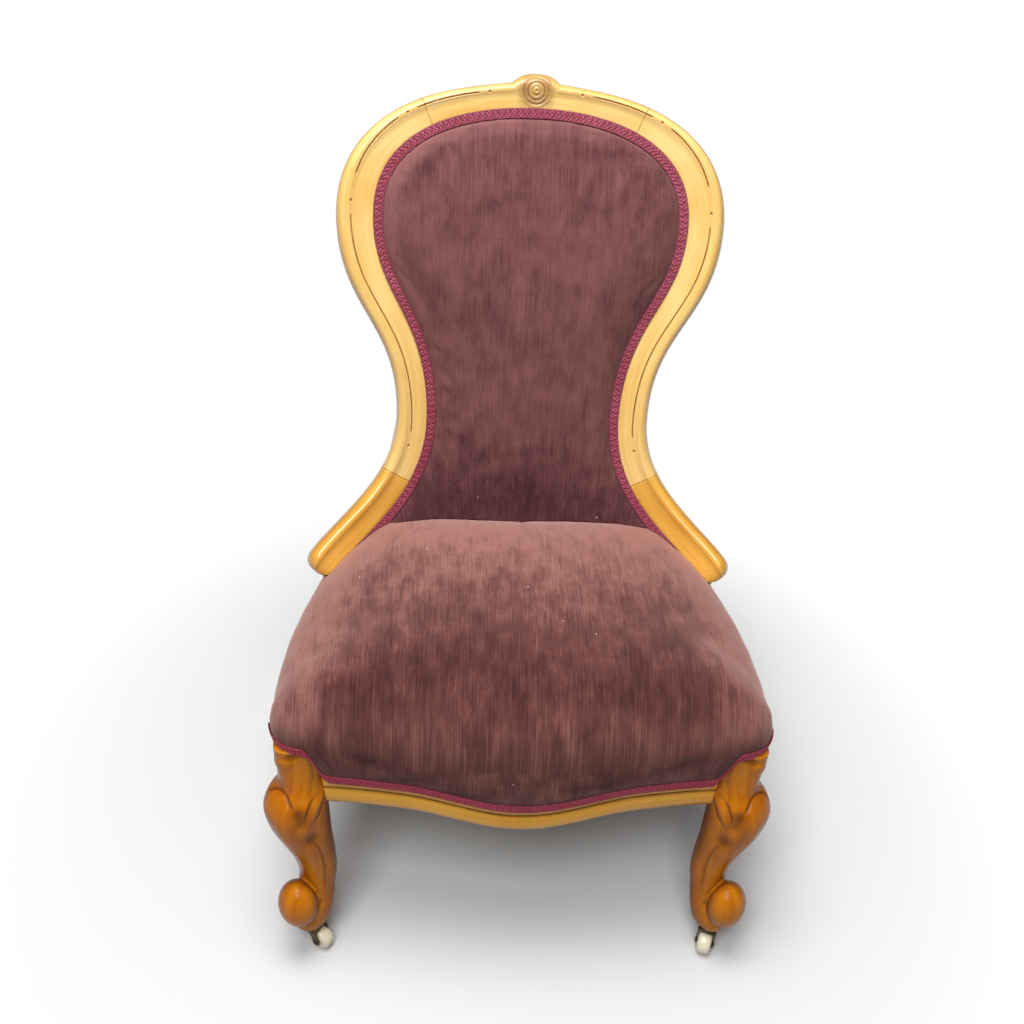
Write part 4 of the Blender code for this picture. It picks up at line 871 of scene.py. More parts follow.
def arms():
    """The arm runs on from the scarf to a rounded knob, and stands on a short stump on the side rail."""
    first = ARM_JOINT + joint_gap(ARM_JOINT)
    bands = stations_at(np.linspace(band_run(first), band_run(3), 90))
    turns = np.radians((12, 24, 36, 48, 58, 67, 75, 81))
    ends = [(math.cos(turn), ARM_BAND / 2 * math.sin(turn)) for turn in turns]
    end = spoon_point(ARM_END_X, ARM_END_Z)
    foot_x = SEAT_HALF - SIDE_CURVE * (end[1] - WIDEST_Y) ** 2 - REBATE_INSET - RAIL_THICK / 2
    stump = []
    for share in np.linspace(0, 1, 24):
        x = foot_x + (end[0] - 0.004 - foot_x) * smooth(share)
        z = RAIL_TOP + FIT_GAP + (end[2] - RAIL_TOP) * share
        pinch = 1 - 0.16 * math.sin(math.pi * share)
        stump.append((x, end[1] + 0.004, z, STUMP_WIDE * pinch, STUMP_DEEP * pinch, STUMP_SQUARE))
    for word, side in SIDES.items():
        arm = band_mesh(f"{word}_arm", bands, side, 40, carved=False, ends=ends)
        mesh = united(f"{word}_arm", arm, level_loft(f"{word}_stump", stump, side, 28))
        piece(f"show_{word}_arm", mesh, GOLDEN, stands_for=[f"{word}_arm"])


crest_rail()
back_posts()
arms()


# Seat frame and front legs


def seat_half(y):
    return SEAT_HALF - SIDE_CURVE * (y - WIDEST_Y) ** 2


def seat_front(x):
    share = np.minimum(np.abs(x) / FRONT_BOW_HALF, 1.0)
    return SEAT_FRONT_Y + FRONT_BOW * 0.5 * (1 - np.cos(math.pi * share))


def apron_drop(x):
    share = np.minimum(np.abs(x) / APRON_HALF, 1.0)
    return APRON_DROP * 0.5 * (1 + np.cos(math.pi * share))


def leg_lift(x, y):
    """How far the cover's edge rises over a front leg's shoulder, from 0 to 1."""
    far = np.hypot(np.abs(x) - SEAT_HALF + SHOW_INSET, y - seat_front(SEAT_HALF) - SHOW_INSET)
    return smooth((LEG_RISE_FAR - far) / (LEG_RISE_FAR - LEG_RISE_NEAR))


# The rail's moulded face, in (inward, up) shares of its thickness and its visible height
RAIL_FACE = (
    (0.10, 1.0), (0.02, 0.97), (0.0, 0.90), (0.0, 0.64), (0.05, 0.605), (0.085, 0.58), (0.05, 0.555),
    (0.0, 0.50), (-0.045, 0.38), (-0.055, 0.27), (-0.03, 0.14), (0.05, 0.03), (0.13, 0.0),
)


def rail_ring(outer, inward, strip_top, lip, shoulder=0.0):
    """One moulded rail section: the show face, the lip underneath and the rebated top behind."""
    outer, inward = np.array(outer), np.array(inward)
    face = rounded(RAIL_FACE, 2, closed=False)
    points = [(deep * RAIL_THICK, lip + (strip_top - lip) * up) for deep, up in face]
    step = REBATE_INSET - SHOW_INSET
    under = max(lip + 0.004, RAIL_BOTTOM)
    points += [(0.014, lip), (0.017, under), (RAIL_THICK, under)]
    points += [(RAIL_THICK, RAIL_TOP), (step, RAIL_TOP), (step, strip_top + shoulder)]
    points[:3] = [(deep, z + shoulder) for deep, z in points[:3]]
    ring = np.array([(*(outer + inward * deep), z) for deep, z in points])
    depth = np.interp(np.array([z for _, z in points]), (lip, strip_top), (0, 1))
    # The rail's groove over the bead is darkened through the hollow values: dirt and painted shade.
    hollow = np.exp(-(((depth - 0.58) / 0.045) ** 2)) * (np.arange(len(points)) < len(face))
    return ring, hollow, lengths_along(ring)


def rail_mesh(name, sections, runs, mirror=1):
    rings, hollow, around = zip(*sections)
    rings = [ring * (mirror, 1, 1) for ring in rings]
    return skin(
        name, rings, wrap=True, caps=True, hollow=np.array(hollow), across=np.array(around),
        along=np.asarray(runs)[:, None],
    )


def seat_rails():
    """The serpentine front rail and the two bowed side rails, each with a groove over a bead."""
    strip = COVER_EDGE_Z - EDGE_TUCK - 0.0005
    xs = np.linspace(0.0300 - LEG_X, LEG_X - 0.0300, 241)
    sections = []
    for x in xs:
        y = seat_front(x)
        lip = RAIL_BOTTOM - apron_drop(x) - 0.002
        shoulder = LEG_RISE * leg_lift(x, y)
        sections.append(rail_ring((x, y + SHOW_INSET), (0, 1), strip - apron_drop(x), lip, shoulder))
    mesh = rail_mesh("front_seat_rail", sections, xs)
    piece("show_front_seat_rail", mesh, RAIL, stands_for=["front_seat_rail"])
    ys = np.linspace(LEG_Y + 0.0285, POST_SEAT_Y - POST_HALF - 0.0006, 121)
    for word, side in SIDES.items():
        sections = []
        for y in ys:
            slope = -2 * SIDE_CURVE * (y - WIDEST_Y)
            inward = np.array((-1.0, slope)) / math.hypot(1, slope)
            outer = np.array((seat_half(y), y)) + inward * SHOW_INSET
            sections.append(rail_ring(outer, inward, strip, RAIL_BOTTOM))
        mesh = rail_mesh(f"{word}_seat_rail", sections, ys, side)
        piece(f"show_{word}_seat_rail", mesh, AMBER, stands_for=[f"{word}_seat_rail"])


# Down the cabriole leg: height, middle x and y, half-size, squareness and share turned to the diagonal
LEG_STATIONS = (
    (0.3350, LEG_X - 0.002, LEG_Y, 0.0272, 4.0, 0.0),
    (0.3150, LEG_X - 0.002, LEG_Y, 0.0272, 3.8, 0.0),
    (0.3000, LEG_X - 0.003, LEG_Y - 0.001, 0.0272, 3.4, 0.1),
    (0.2840, LEG_X - 0.004, LEG_Y - 0.004, 0.0270, 3.0, 0.4),
    (0.2720, LEG_X - 0.005, LEG_Y - 0.008, 0.0282, 2.7, 0.8),
    (0.2600, LEG_X - 0.001, LEG_Y - 0.014, 0.0322, 2.6, 1.0),
    (0.2480, LEG_X + 0.002, LEG_Y - 0.017, 0.0340, 2.6, 1.0),
    (0.2170, LEG_X + 0.0005, LEG_Y - 0.020, 0.0334, 2.5, 1.0),
    (0.1900, LEG_X - 0.006, LEG_Y - 0.022, 0.0290, 2.4, 1.0),
    (0.1540, LEG_X - 0.014, LEG_Y - 0.022, 0.0240, 2.4, 1.0),
    (0.1290, LEG_X - 0.017, LEG_Y - 0.024, 0.0220, 2.4, 1.0),
    (0.1060, LEG_X - 0.015, FRONT_FOOT_Y + 0.012, 0.0215, 2.4, 1.0),
    (0.0730, FRONT_FOOT_X - 0.007, FRONT_FOOT_Y + 0.003, 0.0220, 2.4, 1.0),
    (0.0508, FRONT_FOOT_X - 0.002, FRONT_FOOT_Y, 0.0210, 2.4, 1.0),
    (0.0450, FRONT_FOOT_X, FRONT_FOOT_Y, 0.0196, 2.3, 1.0),
    (FOOT_Z, FRONT_FOOT_X, FRONT_FOOT_Y, 0.0175, 2.3, 1.0),
)


def shaft_mesh():
    """The leg's shaft as one smooth loft, with the knee's raised outer lobe and its crisp upper edge."""
    stations = np.array(LEG_STATIONS)[::-1]
    heights = np.linspace(FOOT_Z, LEG_STATIONS[0][0], 200)
    columns = [hermite(stations[:, 0], stations[:, i], heights) for i in range(1, 6)]
    angles = np.linspace(-math.pi, math.pi, 64, endpoint=False)
    rings = []
    for z, x, y, half, square, turned in zip(heights, *columns):
        turned = np.clip(turned, 0, 1)
        size = 0.0
        for share, turn in ((1 - turned, 0.0), (turned, math.pi / 4)):
            c, s = np.abs(np.cos(angles - turn)), np.abs(np.sin(angles - turn))
            size = size + share * (c**square + s**square) ** (-1 / square)
        lobe = smooth((0.2755 - z) / 0.010) * smooth((z - 0.13) / 0.10)
        facing = smooth((math.radians(62) - np.abs(angles + math.radians(18))) / 0.35)
        radius = half * size + 0.0022 * lobe * facing
        ring = (x + radius * np.cos(angles), y + radius * np.sin(angles), np.full(len(angles), z))
        rings.append(np.stack(ring, axis=1))
    return skin("shaft", rings, wrap=True, caps=True)


def egg(middle, sizes, turn=(0.0, 0.0, 0.0)):
    """A closed ellipsoid at a place, turned by angles in degrees."""
    steps = 40
    angles = np.linspace(0, math.pi, steps)[1:-1]
    around = np.linspace(0, 2 * math.pi, steps, endpoint=False)
    c, s = np.cos(around), np.sin(around)
    rows = [np.stack((np.sin(a) * c, np.sin(a) * s, np.full(steps, math.cos(a))), axis=1) for a in angles]
    mesh = skin("egg", np.array(rows) * sizes, wrap=True, caps=True)
    from_degrees = [math.radians(value) for value in turn]
    mesh.transform(Matrix.Translation(middle) @ Euler(from_degrees).to_matrix().to_4x4())
    return mesh


# Carved lines and hollows on the right leg, as points on its surface
KNEE_EDGE = (
    (0.2987, -0.2684, 0.2565), (0.2960, -0.2643, 0.2622), (0.2896, -0.2654, 0.2685),
    (0.2819, -0.2712, 0.2722), (0.2752, -0.2784, 0.2716), (0.2704, -0.2849, 0.2685),
    (0.2666, -0.2915, 0.2631), (0.2631, -0.2961, 0.2575),
)
LEAF_EDGE = (
    (0.2346, -0.2727, 0.2709), (0.2395, -0.2811, 0.2697), (0.2450, -0.2866, 0.2637),
    (0.2480, -0.2922, 0.2566), (0.2499, -0.2956, 0.2467), (0.2488, -0.2966, 0.2351),
)
LEAF_INSIDE = (
    (0.2301, -0.2696, 0.2661), (0.2317, -0.2766, 0.2542), (0.2357, -0.2835, 0.2420),
    (0.2427, -0.2914, 0.2364),
)
LEAF_CREST = (
    (0.2330, -0.2715, 0.2680), (0.2370, -0.2800, 0.2600), (0.2410, -0.2875, 0.2500),
    (0.2455, -0.2935, 0.2400),
)
NECK_EDGE = (
    (0.2467, -0.2698, 0.3239), (0.2423, -0.2718, 0.3106), (0.2416, -0.2721, 0.2939),
    (0.2433, -0.2775, 0.2828), (0.2475, -0.2826, 0.2714),
)
SHIN_EDGE = (
    (0.2432, -0.2943, 0.2072), (0.2377, -0.2906, 0.1904), (0.2343, -0.2877, 0.1702),
    (0.2333, -0.2873, 0.1502), (0.2337, -0.2892, 0.1302), (0.2331, -0.2898, 0.1138),
)
SCROLL_EDGE = (
    (0.2560, -0.2900, 0.1290), (0.2501, -0.2923, 0.1180), (0.2454, -0.2942, 0.1080),
    (0.2451, -0.2966, 0.0980), (0.2505, -0.3001, 0.0900), (0.2580, -0.3040, 0.0850),
)
KNEE_HOLLOW = ((0.2583, -0.2970, 0.2548), (0.2550, -0.2985, 0.2420))
LEAF_TIP = ((0.2453, -0.2957, 0.2116),)
EAR_HOLLOW = ((0.2600, -0.2750, 0.3280), (0.2690, -0.2760, 0.3250))
EAR_RIM = ((0.2790, -0.2740, 0.3190), (0.2720, -0.2755, 0.3195))
SCROLL_EYE = ((0.2420, -0.2985, 0.0930),)

# What is cut, as (line, width, depth, darkness of dirt and painted shade),
# and what is raised, as (line, width, height)
LEG_CUTS = (
    (KNEE_EDGE, 0.0019, 0.0020, 0.8), (LEAF_EDGE, 0.0017, 0.0017, 0.8), (LEAF_INSIDE, 0.0017, 0.0012, 0.6),
    (NECK_EDGE, 0.0020, 0.0011, 0.5), (SHIN_EDGE, 0.0018, 0.0013, 0.5), (SCROLL_EDGE, 0.0034, 0.0034, 0.35),
    (KNEE_HOLLOW, 0.0085, 0.0028, 0.75), (LEAF_TIP, 0.0105, 0.0022, 0.75), (EAR_HOLLOW, 0.0045, 0.0040, 0.95),
    (SCROLL_EYE, 0.0045, 0.0024, 0.5),
)
LEG_RISES = ((LEAF_CREST, 0.0055, 0.0018), (EAR_RIM, 0.0028, 0.0014))
LINE_FADE = 0.012

# Blocks that fill the leg's top behind the shaft, as (x, y, half-width, half-depth, squareness, bottom, top)
TENON = (LEG_X - 0.013, LEG_Y + 0.011, 0.0160, 0.0160, 5.0, 0.300, RAIL_TOP)
HEEL = (LEG_X - 0.0020, LEG_Y + 0.0122, 0.0208, 0.0150, 7.0, RAIL_BOTTOM + 0.001, 0.304)
EAR_PLACE, EAR_SIZES = (0.2705, -0.2595, 0.3130), (0.0165, 0.0150, 0.0210)


def line_distance(points, line):
    """Distance of points from a line of points, or from a single one."""
    line = np.array(line)
    far = np.linalg.norm(points - line[0], axis=1)
    for start, stop in zip(line, line[1:]):
        ahead = stop - start
        share = np.clip((points - start) @ ahead / (ahead @ ahead), 0, 1)
        far = np.minimum(far, np.linalg.norm(points - start - share[:, None] * ahead, axis=1))
    return far


def front_legs():
    """Cabriole legs: shaft, ear and scrolled foot grown together, then carved along the leaf and the knee."""
    foot = (FRONT_FOOT_X + SCROLL_OUT - 0.0040, FRONT_FOOT_Y - SCROLL_OUT, SCROLL_Z + 0.0120)
    parts = [shaft_mesh()]
    for x, y, wide, deep, square, *ends in (TENON, HEEL):
        parts.append(level_loft("block", [(x, y, z, wide, deep, square) for z in ends], 1))
    parts.append(egg(foot, (SCROLL_RADIUS, SCROLL_RADIUS * 1.30, SCROLL_RADIUS * 0.90), (90, 0, 45)))
    parts.append(egg(EAR_PLACE, EAR_SIZES))
    remesh = ("REMESH", {"mode": "VOXEL", "voxel_size": 0.0011})
    grown = applied(joined("leg", parts), remesh, ("SMOOTH", {"factor": 0.5, "iterations": 5}))
    points, normals = points_of(grown), points_of(grown, "normal")
    deep, dirt_and_shade = np.zeros(len(points)), np.zeros(len(points))
    # The cuts deepen the surface and darken it by their darkness: dirt and painted shade.
    for line, width, depth, dark in LEG_CUTS:
        near = np.exp(-((line_distance(points, line) / width) ** 2))
        if len(line) > 2:
            near *= 0.25 + 0.75 * smooth(line_distance(points, line[:1]) / LINE_FADE)
            near *= 0.25 + 0.75 * smooth(line_distance(points, line[-1:]) / LINE_FADE)
        deep += depth * near
        dirt_and_shade = np.maximum(dirt_and_shade, dark * near)
    rise = np.zeros(len(points))
    for line, width, height in LEG_RISES:
        rise += height * np.exp(-((line_distance(points, line) / width) ** 2))
    # Painted shade on the leg's inner side, added to the cuts' darkness.
    inside = smooth((0.2330 - points[:, 0]) / 0.008) * smooth((points[:, 2] - 0.14) / 0.05)
    hollow = dirt_and_shade + 0.45 * inside
    move_points(grown, points + normals * (rise - deep)[:, None])
    write_value(grown, "hollow", np.clip(hollow, 0, 1))
    write_value(grown, "along", points[:, 2] + 0.25 * (points[:, 1] - LEG_Y))
    write_value(grown, "across", np.arctan2(points[:, 1] - LEG_Y, points[:, 0] - LEG_X + 0.02) * 0.028)
    for word, side in SIDES.items():
        mesh = grown.copy()
        if side < 0:
            move_points(mesh, points_of(grown) * (-1, 1, 1))
            mesh.flip_normals()
        piece(f"show_{word}_front_leg", mesh, AMBER, stands_for=[f"{word}_front_leg"])


seat_rails()
front_legs()


# Seat upholstery

OUTLINE_START = -147
OUTLINE_ANGLES = np.radians(np.linspace(OUTLINE_START, OUTLINE_START + 360, 1441))
SEAT_CORNERS = np.radians((OUTLINE_START, -33, 39.4, 140.6, OUTLINE_START + 360))


def seat_radius(angles):
    """Distance from the seat's middle to its outline along these plan angles."""
    low, high = np.zeros(angles.shape), np.full(angles.shape, 0.6)
    for _ in range(40):
        radius = (low + high) / 2
        x = radius * np.cos(angles)
        y = SEAT_MIDDLE_Y + radius * np.sin(angles)
        ahead = y < SEAT_MIDDLE_Y
        reach = np.where(ahead, seat_front(x), SEAT_BACK_Y)
        square = np.where(ahead, FRONT_SQUARE, BACK_SQUARE)
        across = np.abs(x) / np.maximum(seat_half(y), 0.02)
        along = np.abs((y - SEAT_MIDDLE_Y) / (reach - SEAT_MIDDLE_Y))
        inside = np.minimum(across, 2) ** square + np.minimum(along, 2) ** square < 1
        low, high = np.where(inside, radius, low), np.where(inside, high, radius)
    return low


OUTLINE_RADII = seat_radius(OUTLINE_ANGLES)
OUTLINE_PLAN = np.stack((
    OUTLINE_RADII * np.cos(OUTLINE_ANGLES), SEAT_MIDDLE_Y + OUTLINE_RADII * np.sin(OUTLINE_ANGLES),
), axis=1)
OUTLINE_RUN = lengths_along(OUTLINE_PLAN)
SKIRT_SHARE, SKIRT_BULGE = 0.84, 0.0032


def edge_lift(x, y):
    """Rise of the cover's lower edge over the front legs, and over the rails at the back."""
    return LEG_RISE * leg_lift(x, y) + BACK_RISE * smooth((y - BACK_RISE_Y) / BACK_RISE_RUN)


def cover_edge(x, y):
    """Height of the braid's top edge along the seat's outline."""
    return COVER_EDGE_Z - np.where(y < WIDEST_Y, apron_drop(x), 0.0) + edge_lift(x, y)


def skin_inset(x, y, z):
    """How far the cover is drawn in below its widest level."""
    bulge = BULGE_Z + 0.5 * edge_lift(x, y)
    low = cover_edge(x, y) - EDGE_TUCK
    down = np.clip((bulge - z) / (bulge - low), 0, 1)
    return SEAT_DRAW_IN * (1 - 0.92 * leg_lift(x, y)) * down**2 - SKIRT_BULGE * np.sin(math.pi * down)


def seat_grid(count):
    """Plan angle, outline radius and ring share of a square grid whose corners are the seat's corners."""
    ends = np.interp(SEAT_CORNERS, OUTLINE_ANGLES, OUTLINE_RUN)
    a, b = np.meshgrid(np.linspace(-1, 1, count), np.linspace(-1, 1, count))
    ring = np.maximum(np.abs(a), np.abs(b))
    safe = np.maximum(ring, 1e-9)
    front, right, back = (b <= -np.abs(a)), (a >= np.abs(b)), (b >= np.abs(a))
    share = np.where(front, a, np.where(right, b, np.where(back, -a, -b))) / safe
    edge = np.where(front, 0, np.where(right, 1, np.where(back, 2, 3)))
    run = ends[edge] + (ends[edge + 1] - ends[edge]) * (share + 1) / 2
    angle = np.interp(run, OUTLINE_RUN, OUTLINE_ANGLES)
    return angle, np.interp(angle, OUTLINE_ANGLES, OUTLINE_RADII), ring


def seat_place(angle, far, z):
    return np.stack((far * np.cos(angle), SEAT_MIDDLE_Y + far * np.sin(angle), z), axis=-1)


def seat_skin(angle, radius, ring):
    """Points of the cover: the skirt from its lower edge to its widest level, then the dome."""
    x, y = radius * np.cos(angle), SEAT_MIDDLE_Y + radius * np.sin(angle)
    bulge = BULGE_Z + 0.5 * edge_lift(x, y)
    low = cover_edge(x, y) - EDGE_TUCK
    down = np.clip((ring - SKIRT_SHARE) / (1 - SKIRT_SHARE), 0, 1)
    skirt_z = bulge + (low - bulge) * down
    reach = np.sin(np.minimum(ring / SKIRT_SHARE, 1) * math.pi / 2)
    dome_z = bulge + (SEAT_TOP - bulge) * np.sqrt(np.maximum(1 - reach**3, 0))
    far = np.where(down > 0, radius - skin_inset(x, y, skirt_z), radius * reach)
    return seat_place(angle, far, np.where(down > 0, skirt_z, dome_z))


def seat_under(angle, radius, ring):
    """Points of the pad's underside: inside the skirt, then over the spring canvas."""
    inner = seat_skin(angle, radius - 0.0019, ring)
    share = np.minimum(ring / SKIRT_SHARE, 1) * 0.955
    flat_z = RAIL_TOP + 0.0026 + HESSIAN_DOME * smooth((0.94 - share) / 0.16)
    flat = seat_place(angle, (radius - 0.004) * share, flat_z)
    return np.where((ring > SKIRT_SHARE)[..., None], inner, flat)


def puffed(mesh, pinned, pressure, cap):
    """Points of a skin after a short cloth simulation with air behind it, its pinned points held."""
    start = points_of(mesh)
    item = put("cloth", mesh.copy())
    item.vertex_groups.new(name="pins").add(np.flatnonzero(pinned).tolist(), 1.0, "REPLACE")
    settings = item.modifiers.new("cloth", "CLOTH").settings
    settings.vertex_group_mass = "pins"
    settings.quality = 6
    settings.mass = 0.4
    settings.tension_stiffness = settings.compression_stiffness = 40
    settings.bending_stiffness = 8
    settings.use_pressure = True
    settings.uniform_pressure_force = pressure
    settings.effector_weights.gravity = 0
    scene = bpy.context.scene
    for number in range(1, 21):
        scene.frame_set(number)
    deps = bpy.context.evaluated_depsgraph_get()
    swelled = points_of(item.evaluated_get(deps).data)
    scene.frame_set(1)
    bpy.data.objects.remove(item, do_unlink=True)
    move = swelled - start
    length = np.maximum(np.linalg.norm(move, axis=1, keepdims=True), 1e-9)
    return start + move * np.minimum(1, cap / length)


def closed_pad(name, top, under, **values):
    """A closed body from two grids with the same edge."""
    rows, columns = top.shape[:2]
    index = np.arange(rows * columns).reshape(rows, columns)
    other = index + rows * columns
    faces = []
    for grid, step in ((index, 1), (other, -1)):
        quads = np.stack((grid[:-1, :-1], grid[:-1, 1:], grid[1:, 1:], grid[1:, :-1]), axis=-1).reshape(-1, 4)
        faces += quads[:, ::step].tolist()
    loop = np.concatenate((index[0], index[1:, -1], index[-1, -2::-1], index[-2:0:-1, 0]))
    after = np.roll(loop, -1)
    faces += np.stack((after, loop, loop + rows * columns, after + rows * columns), axis=1).tolist()
    mesh = bpy.data.meshes.new(name)
    mesh.from_pydata(np.concatenate((top.reshape(-1, 3), under.reshape(-1, 3))).tolist(), [], faces)
    for key, value in values.items():
        write_value(mesh, key, np.concatenate((np.ravel(value), np.ravel(value))))
    return outward(mesh)


def swollen(mesh, amount):
    """A copy grown along its normals, to cut what it would touch."""
    made = mesh.copy()
    move_points(made, points_of(mesh) + points_of(mesh, "normal") * amount)
    return made


def cut_by(mesh, *cutters):
    """The mesh less these closed meshes."""
    for cutter in cutters:
        other = put("cutter", cutter.copy())
        mesh = applied(mesh, ("BOOLEAN", {"operation": "DIFFERENCE", "object": other, "solver": "MANIFOLD"}))
        bpy.data.objects.remove(other, do_unlink=True)
    return mesh


def crease(points, start, stop, width):
    """How near points are to a line on the surface, from 0 to 1, fading at its ends."""
    start, stop = np.array(start), np.array(stop)
    line = stop - start
    share = np.clip((points - start) @ line / (line @ line), 0, 1)
    far = np.linalg.norm(points - start - share[..., None] * line, axis=-1)
    return np.exp(-((far / width) ** 2)) * np.sin(math.pi * np.clip(share, 0.02, 0.98)) ** 0.5


def cloth_relief(points, places, creases, swells, ridge):
    """Height of a cover's uneven stuffing and drag folds, with a ridge (lift, share) over each fold."""
    flat = points.reshape(-1, 3)
    height = sum(size * noise_at(flat, scale, seed) for size, scale, seed in swells).reshape(points.shape[:2])
    lift, share = ridge
    for start, stop, width, deep in creases:
        lifted = np.array((0.0, lift * width))
        height = height - deep * crease(places, start, stop, width)
        height = height + share * deep * crease(places, start + lifted, stop + lifted, width)
    return height


# Drag folds as (start, end, width, depth), swells of the stuffing as (height, scale, seed),
# and the painted shade and light on the pile from the seat's front to its back
SEAT_CREASES = (
    ((-0.165, 0.312), (-0.105, 0.322), 0.0050, 0.0016), ((-0.110, 0.303), (-0.040, 0.300), 0.0050, 0.0015),
    ((0.040, 0.312), (0.120, 0.322), 0.0060, 0.0014), ((-0.200, 0.345), (-0.150, 0.336), 0.0070, 0.0012),
    ((0.150, 0.330), (0.205, 0.345), 0.0070, 0.0012),
)
SEAT_SWELLS = ((0.0016, 13.0, 3.0), (0.0006, 45.0, 7.0))
SEAT_SHADE = ((-0.30, -0.24, -0.13, 0.0), (-0.010, -0.065, 0.0, 0.16))


def relaxed(grid, share, passes):
    """A grid of points eased towards its neighbours' middle, more where share is high."""
    grid = grid.copy()
    for _ in range(passes):
        middle = (grid[:-2, 1:-1] + grid[2:, 1:-1] + grid[1:-1, :-2] + grid[1:-1, 2:]) / 4
        grid[1:-1, 1:-1] += 0.5 * share[1:-1, 1:-1, None] * (middle - grid[1:-1, 1:-1])
    return grid


def seat_pad():
    """The sprung seat: cover and stuffing as one full cushion, pressed in where the arms meet it."""
    count = 121
    angle, radius, ring = seat_grid(count)
    place = np.abs(np.linspace(-1, 1, count))
    diagonal = bump((place[:, None] - place[None]) / (0.30 + 0.25 * ring))
    top = relaxed(seat_skin(angle, radius, ring), diagonal * smooth((0.86 - ring) / 0.2), 60)
    top[..., 2] += (0.005 + 0.011 * smooth((top[..., 1] + 0.16) / 0.16)) * smooth((0.84 - ring) / 0.4)
    flat_skin = skin("seat_skin", top)
    points = puffed(flat_skin, (ring > 0.97).ravel(), 3.0, 0.006).reshape(count, count, 3)
    low = np.maximum(BULGE_Z - points[..., 2], 0)
    side = smooth((np.abs(points[..., 0]) - 0.18) / 0.08)
    ahead = smooth((-0.18 - points[..., 1]) / 0.08) * (1 - side)
    across = points[..., 0] + np.sign(points[..., 0]) * low * side
    along = points[..., 1] - low * ahead
    places = points[..., (0, 2)]
    folds = [crease(places, start, stop, width) for start, stop, width, _ in SEAT_CREASES]
    painted_fold_shade = np.max(folds, axis=0) * (points[..., 1] < SEAT_MIDDLE_Y)
    uneven = cloth_relief(points, places, SEAT_CREASES, SEAT_SWELLS, (1.7, 0.7))
    uneven = uneven * smooth((1 - ring) / 0.12)
    points = points + points_of(flat_skin, "normal").reshape(count, count, 3) * uneven[..., None]
    # Painted light and shade on the pile: paler on the side shoulders and towards the back, darker along the
    # front's crown and in the drag folds.
    shade = 0.15 * side * smooth((points[..., 2] - 0.33) / 0.05)
    shade = shade + np.interp(points[..., 1], *SEAT_SHADE) - 0.09 * painted_fold_shade
    # How much of the painted sheen shows: full on the top, little on the skirt.
    nap = 0.2 + 0.8 * smooth((points[..., 2] - BULGE_Z + 0.01) / 0.05)
    under = seat_under(angle, radius, ring)
    mesh = closed_pad("seat_pad", points, under, along=along, across=across, shade=shade, nap=nap)
    return applied(mesh, ("SUBSURF", {"levels": 1, "render_levels": 1}))


def spring_canvas():
    """Hessian over the springs, lapped on the rail tops."""
    count = 61
    angle, radius, ring = seat_grid(count)
    far = (radius - REBATE_INSET - STRAP_LAP / 2) * ring
    level = RAIL_TOP + FIT_GAP + HESSIAN_DOME * smooth((0.97 - ring) / 0.17)
    under, over = seat_place(angle, far, level), seat_place(angle, far, level + HESSIAN_THICK)
    return closed_pad("spring_canvas", over, under, along=over[..., 1], across=over[..., 0])


# Back upholstery, gimp, webbing and springs


def inner_edge(t):
    """Point of the pad's edge, a soft gap inside the band."""
    point, _, _, out = band_axes(t)
    return point - out * (band_width(t) / 2 + BRAID_WIDTH / 2 + SOFT_GAP)


EDGE_STATIONS = np.linspace(2, 3, 101)
PAD_LAST = float(np.interp(-PAD_BOTTOM_Z, [-inner_edge(t)[2] for t in EDGE_STATIONS], EDGE_STATIONS))
PAD_FIRST = 0.25
PAD_EDGE_LINE = np.array([inner_edge(t) for t in np.linspace(0, PAD_LAST, 481)])


def pad_grid(rows, columns):
    """(x, z, y correction) over the back opening, in rows across from the arched top to the foot."""
    marks = stations_at(np.linspace(band_run(PAD_FIRST), band_run(PAD_LAST), rows))
    top_x, _, top_z = inner_edge(PAD_FIRST)
    shares = np.sin(np.linspace(-1, 1, columns) * math.pi / 2 * 0.9) / math.sin(math.pi / 2 * 0.9)
    grid = np.zeros((rows, columns, 3))
    for i, t in enumerate(marks):
        x_edge, y_edge, z_edge = inner_edge(t)
        fade = (1 - i / (rows - 1)) ** 5
        arch = np.interp(np.abs(shares) * top_x, PAD_EDGE_LINE[:160, 0], PAD_EDGE_LINE[:160, 2]) - top_z
        grid[i, :, 0] = shares * x_edge
        grid[i, :, 1] = z_edge + arch * fade
        grid[i, :, 2] = (y_edge - spoon_y(x_edge, z_edge)) * shares**2
    return grid


def pad_surface(grid, depth):
    """Points over the grid at a depth in front of the spoon surface."""
    x, z, fix = grid[..., 0], grid[..., 1], grid[..., 2]
    return np.stack((x, spoon_y(x, z) + fix, z), axis=-1) + spoon_front(x, z) * depth[..., None]


def edge_distance(grid):
    """Distance of the grid's points from the opening's edge, in the (x, z) plane."""
    both = np.vstack((PAD_EDGE_LINE, PAD_EDGE_LINE * (-1, 1, 1)))[:, (0, 2)]
    far = np.full(grid.shape[:2], 9.0)
    for spot_x, spot_z in both:
        far = np.minimum(far, np.hypot(grid[..., 0] - spot_x, grid[..., 1] - spot_z))
    return far


ROLL_START = 0.0058
BACK_CREASES = (
    ((-0.135, 0.655), (-0.108, 0.636), 0.0040, 0.0016), ((-0.128, 0.630), (-0.098, 0.606), 0.0045, 0.0020),
    ((-0.122, 0.604), (-0.090, 0.578), 0.0045, 0.0018), ((-0.118, 0.570), (-0.086, 0.548), 0.0050, 0.0016),
    ((-0.110, 0.535), (-0.070, 0.522), 0.0060, 0.0014), ((0.120, 0.600), (0.098, 0.570), 0.0050, 0.0012),
    ((-0.060, 0.500), (0.030, 0.512), 0.0090, 0.0012),
)
BACK_SWELLS = ((0.0012, 15.0, 11.0), (0.0005, 48.0, 5.0))


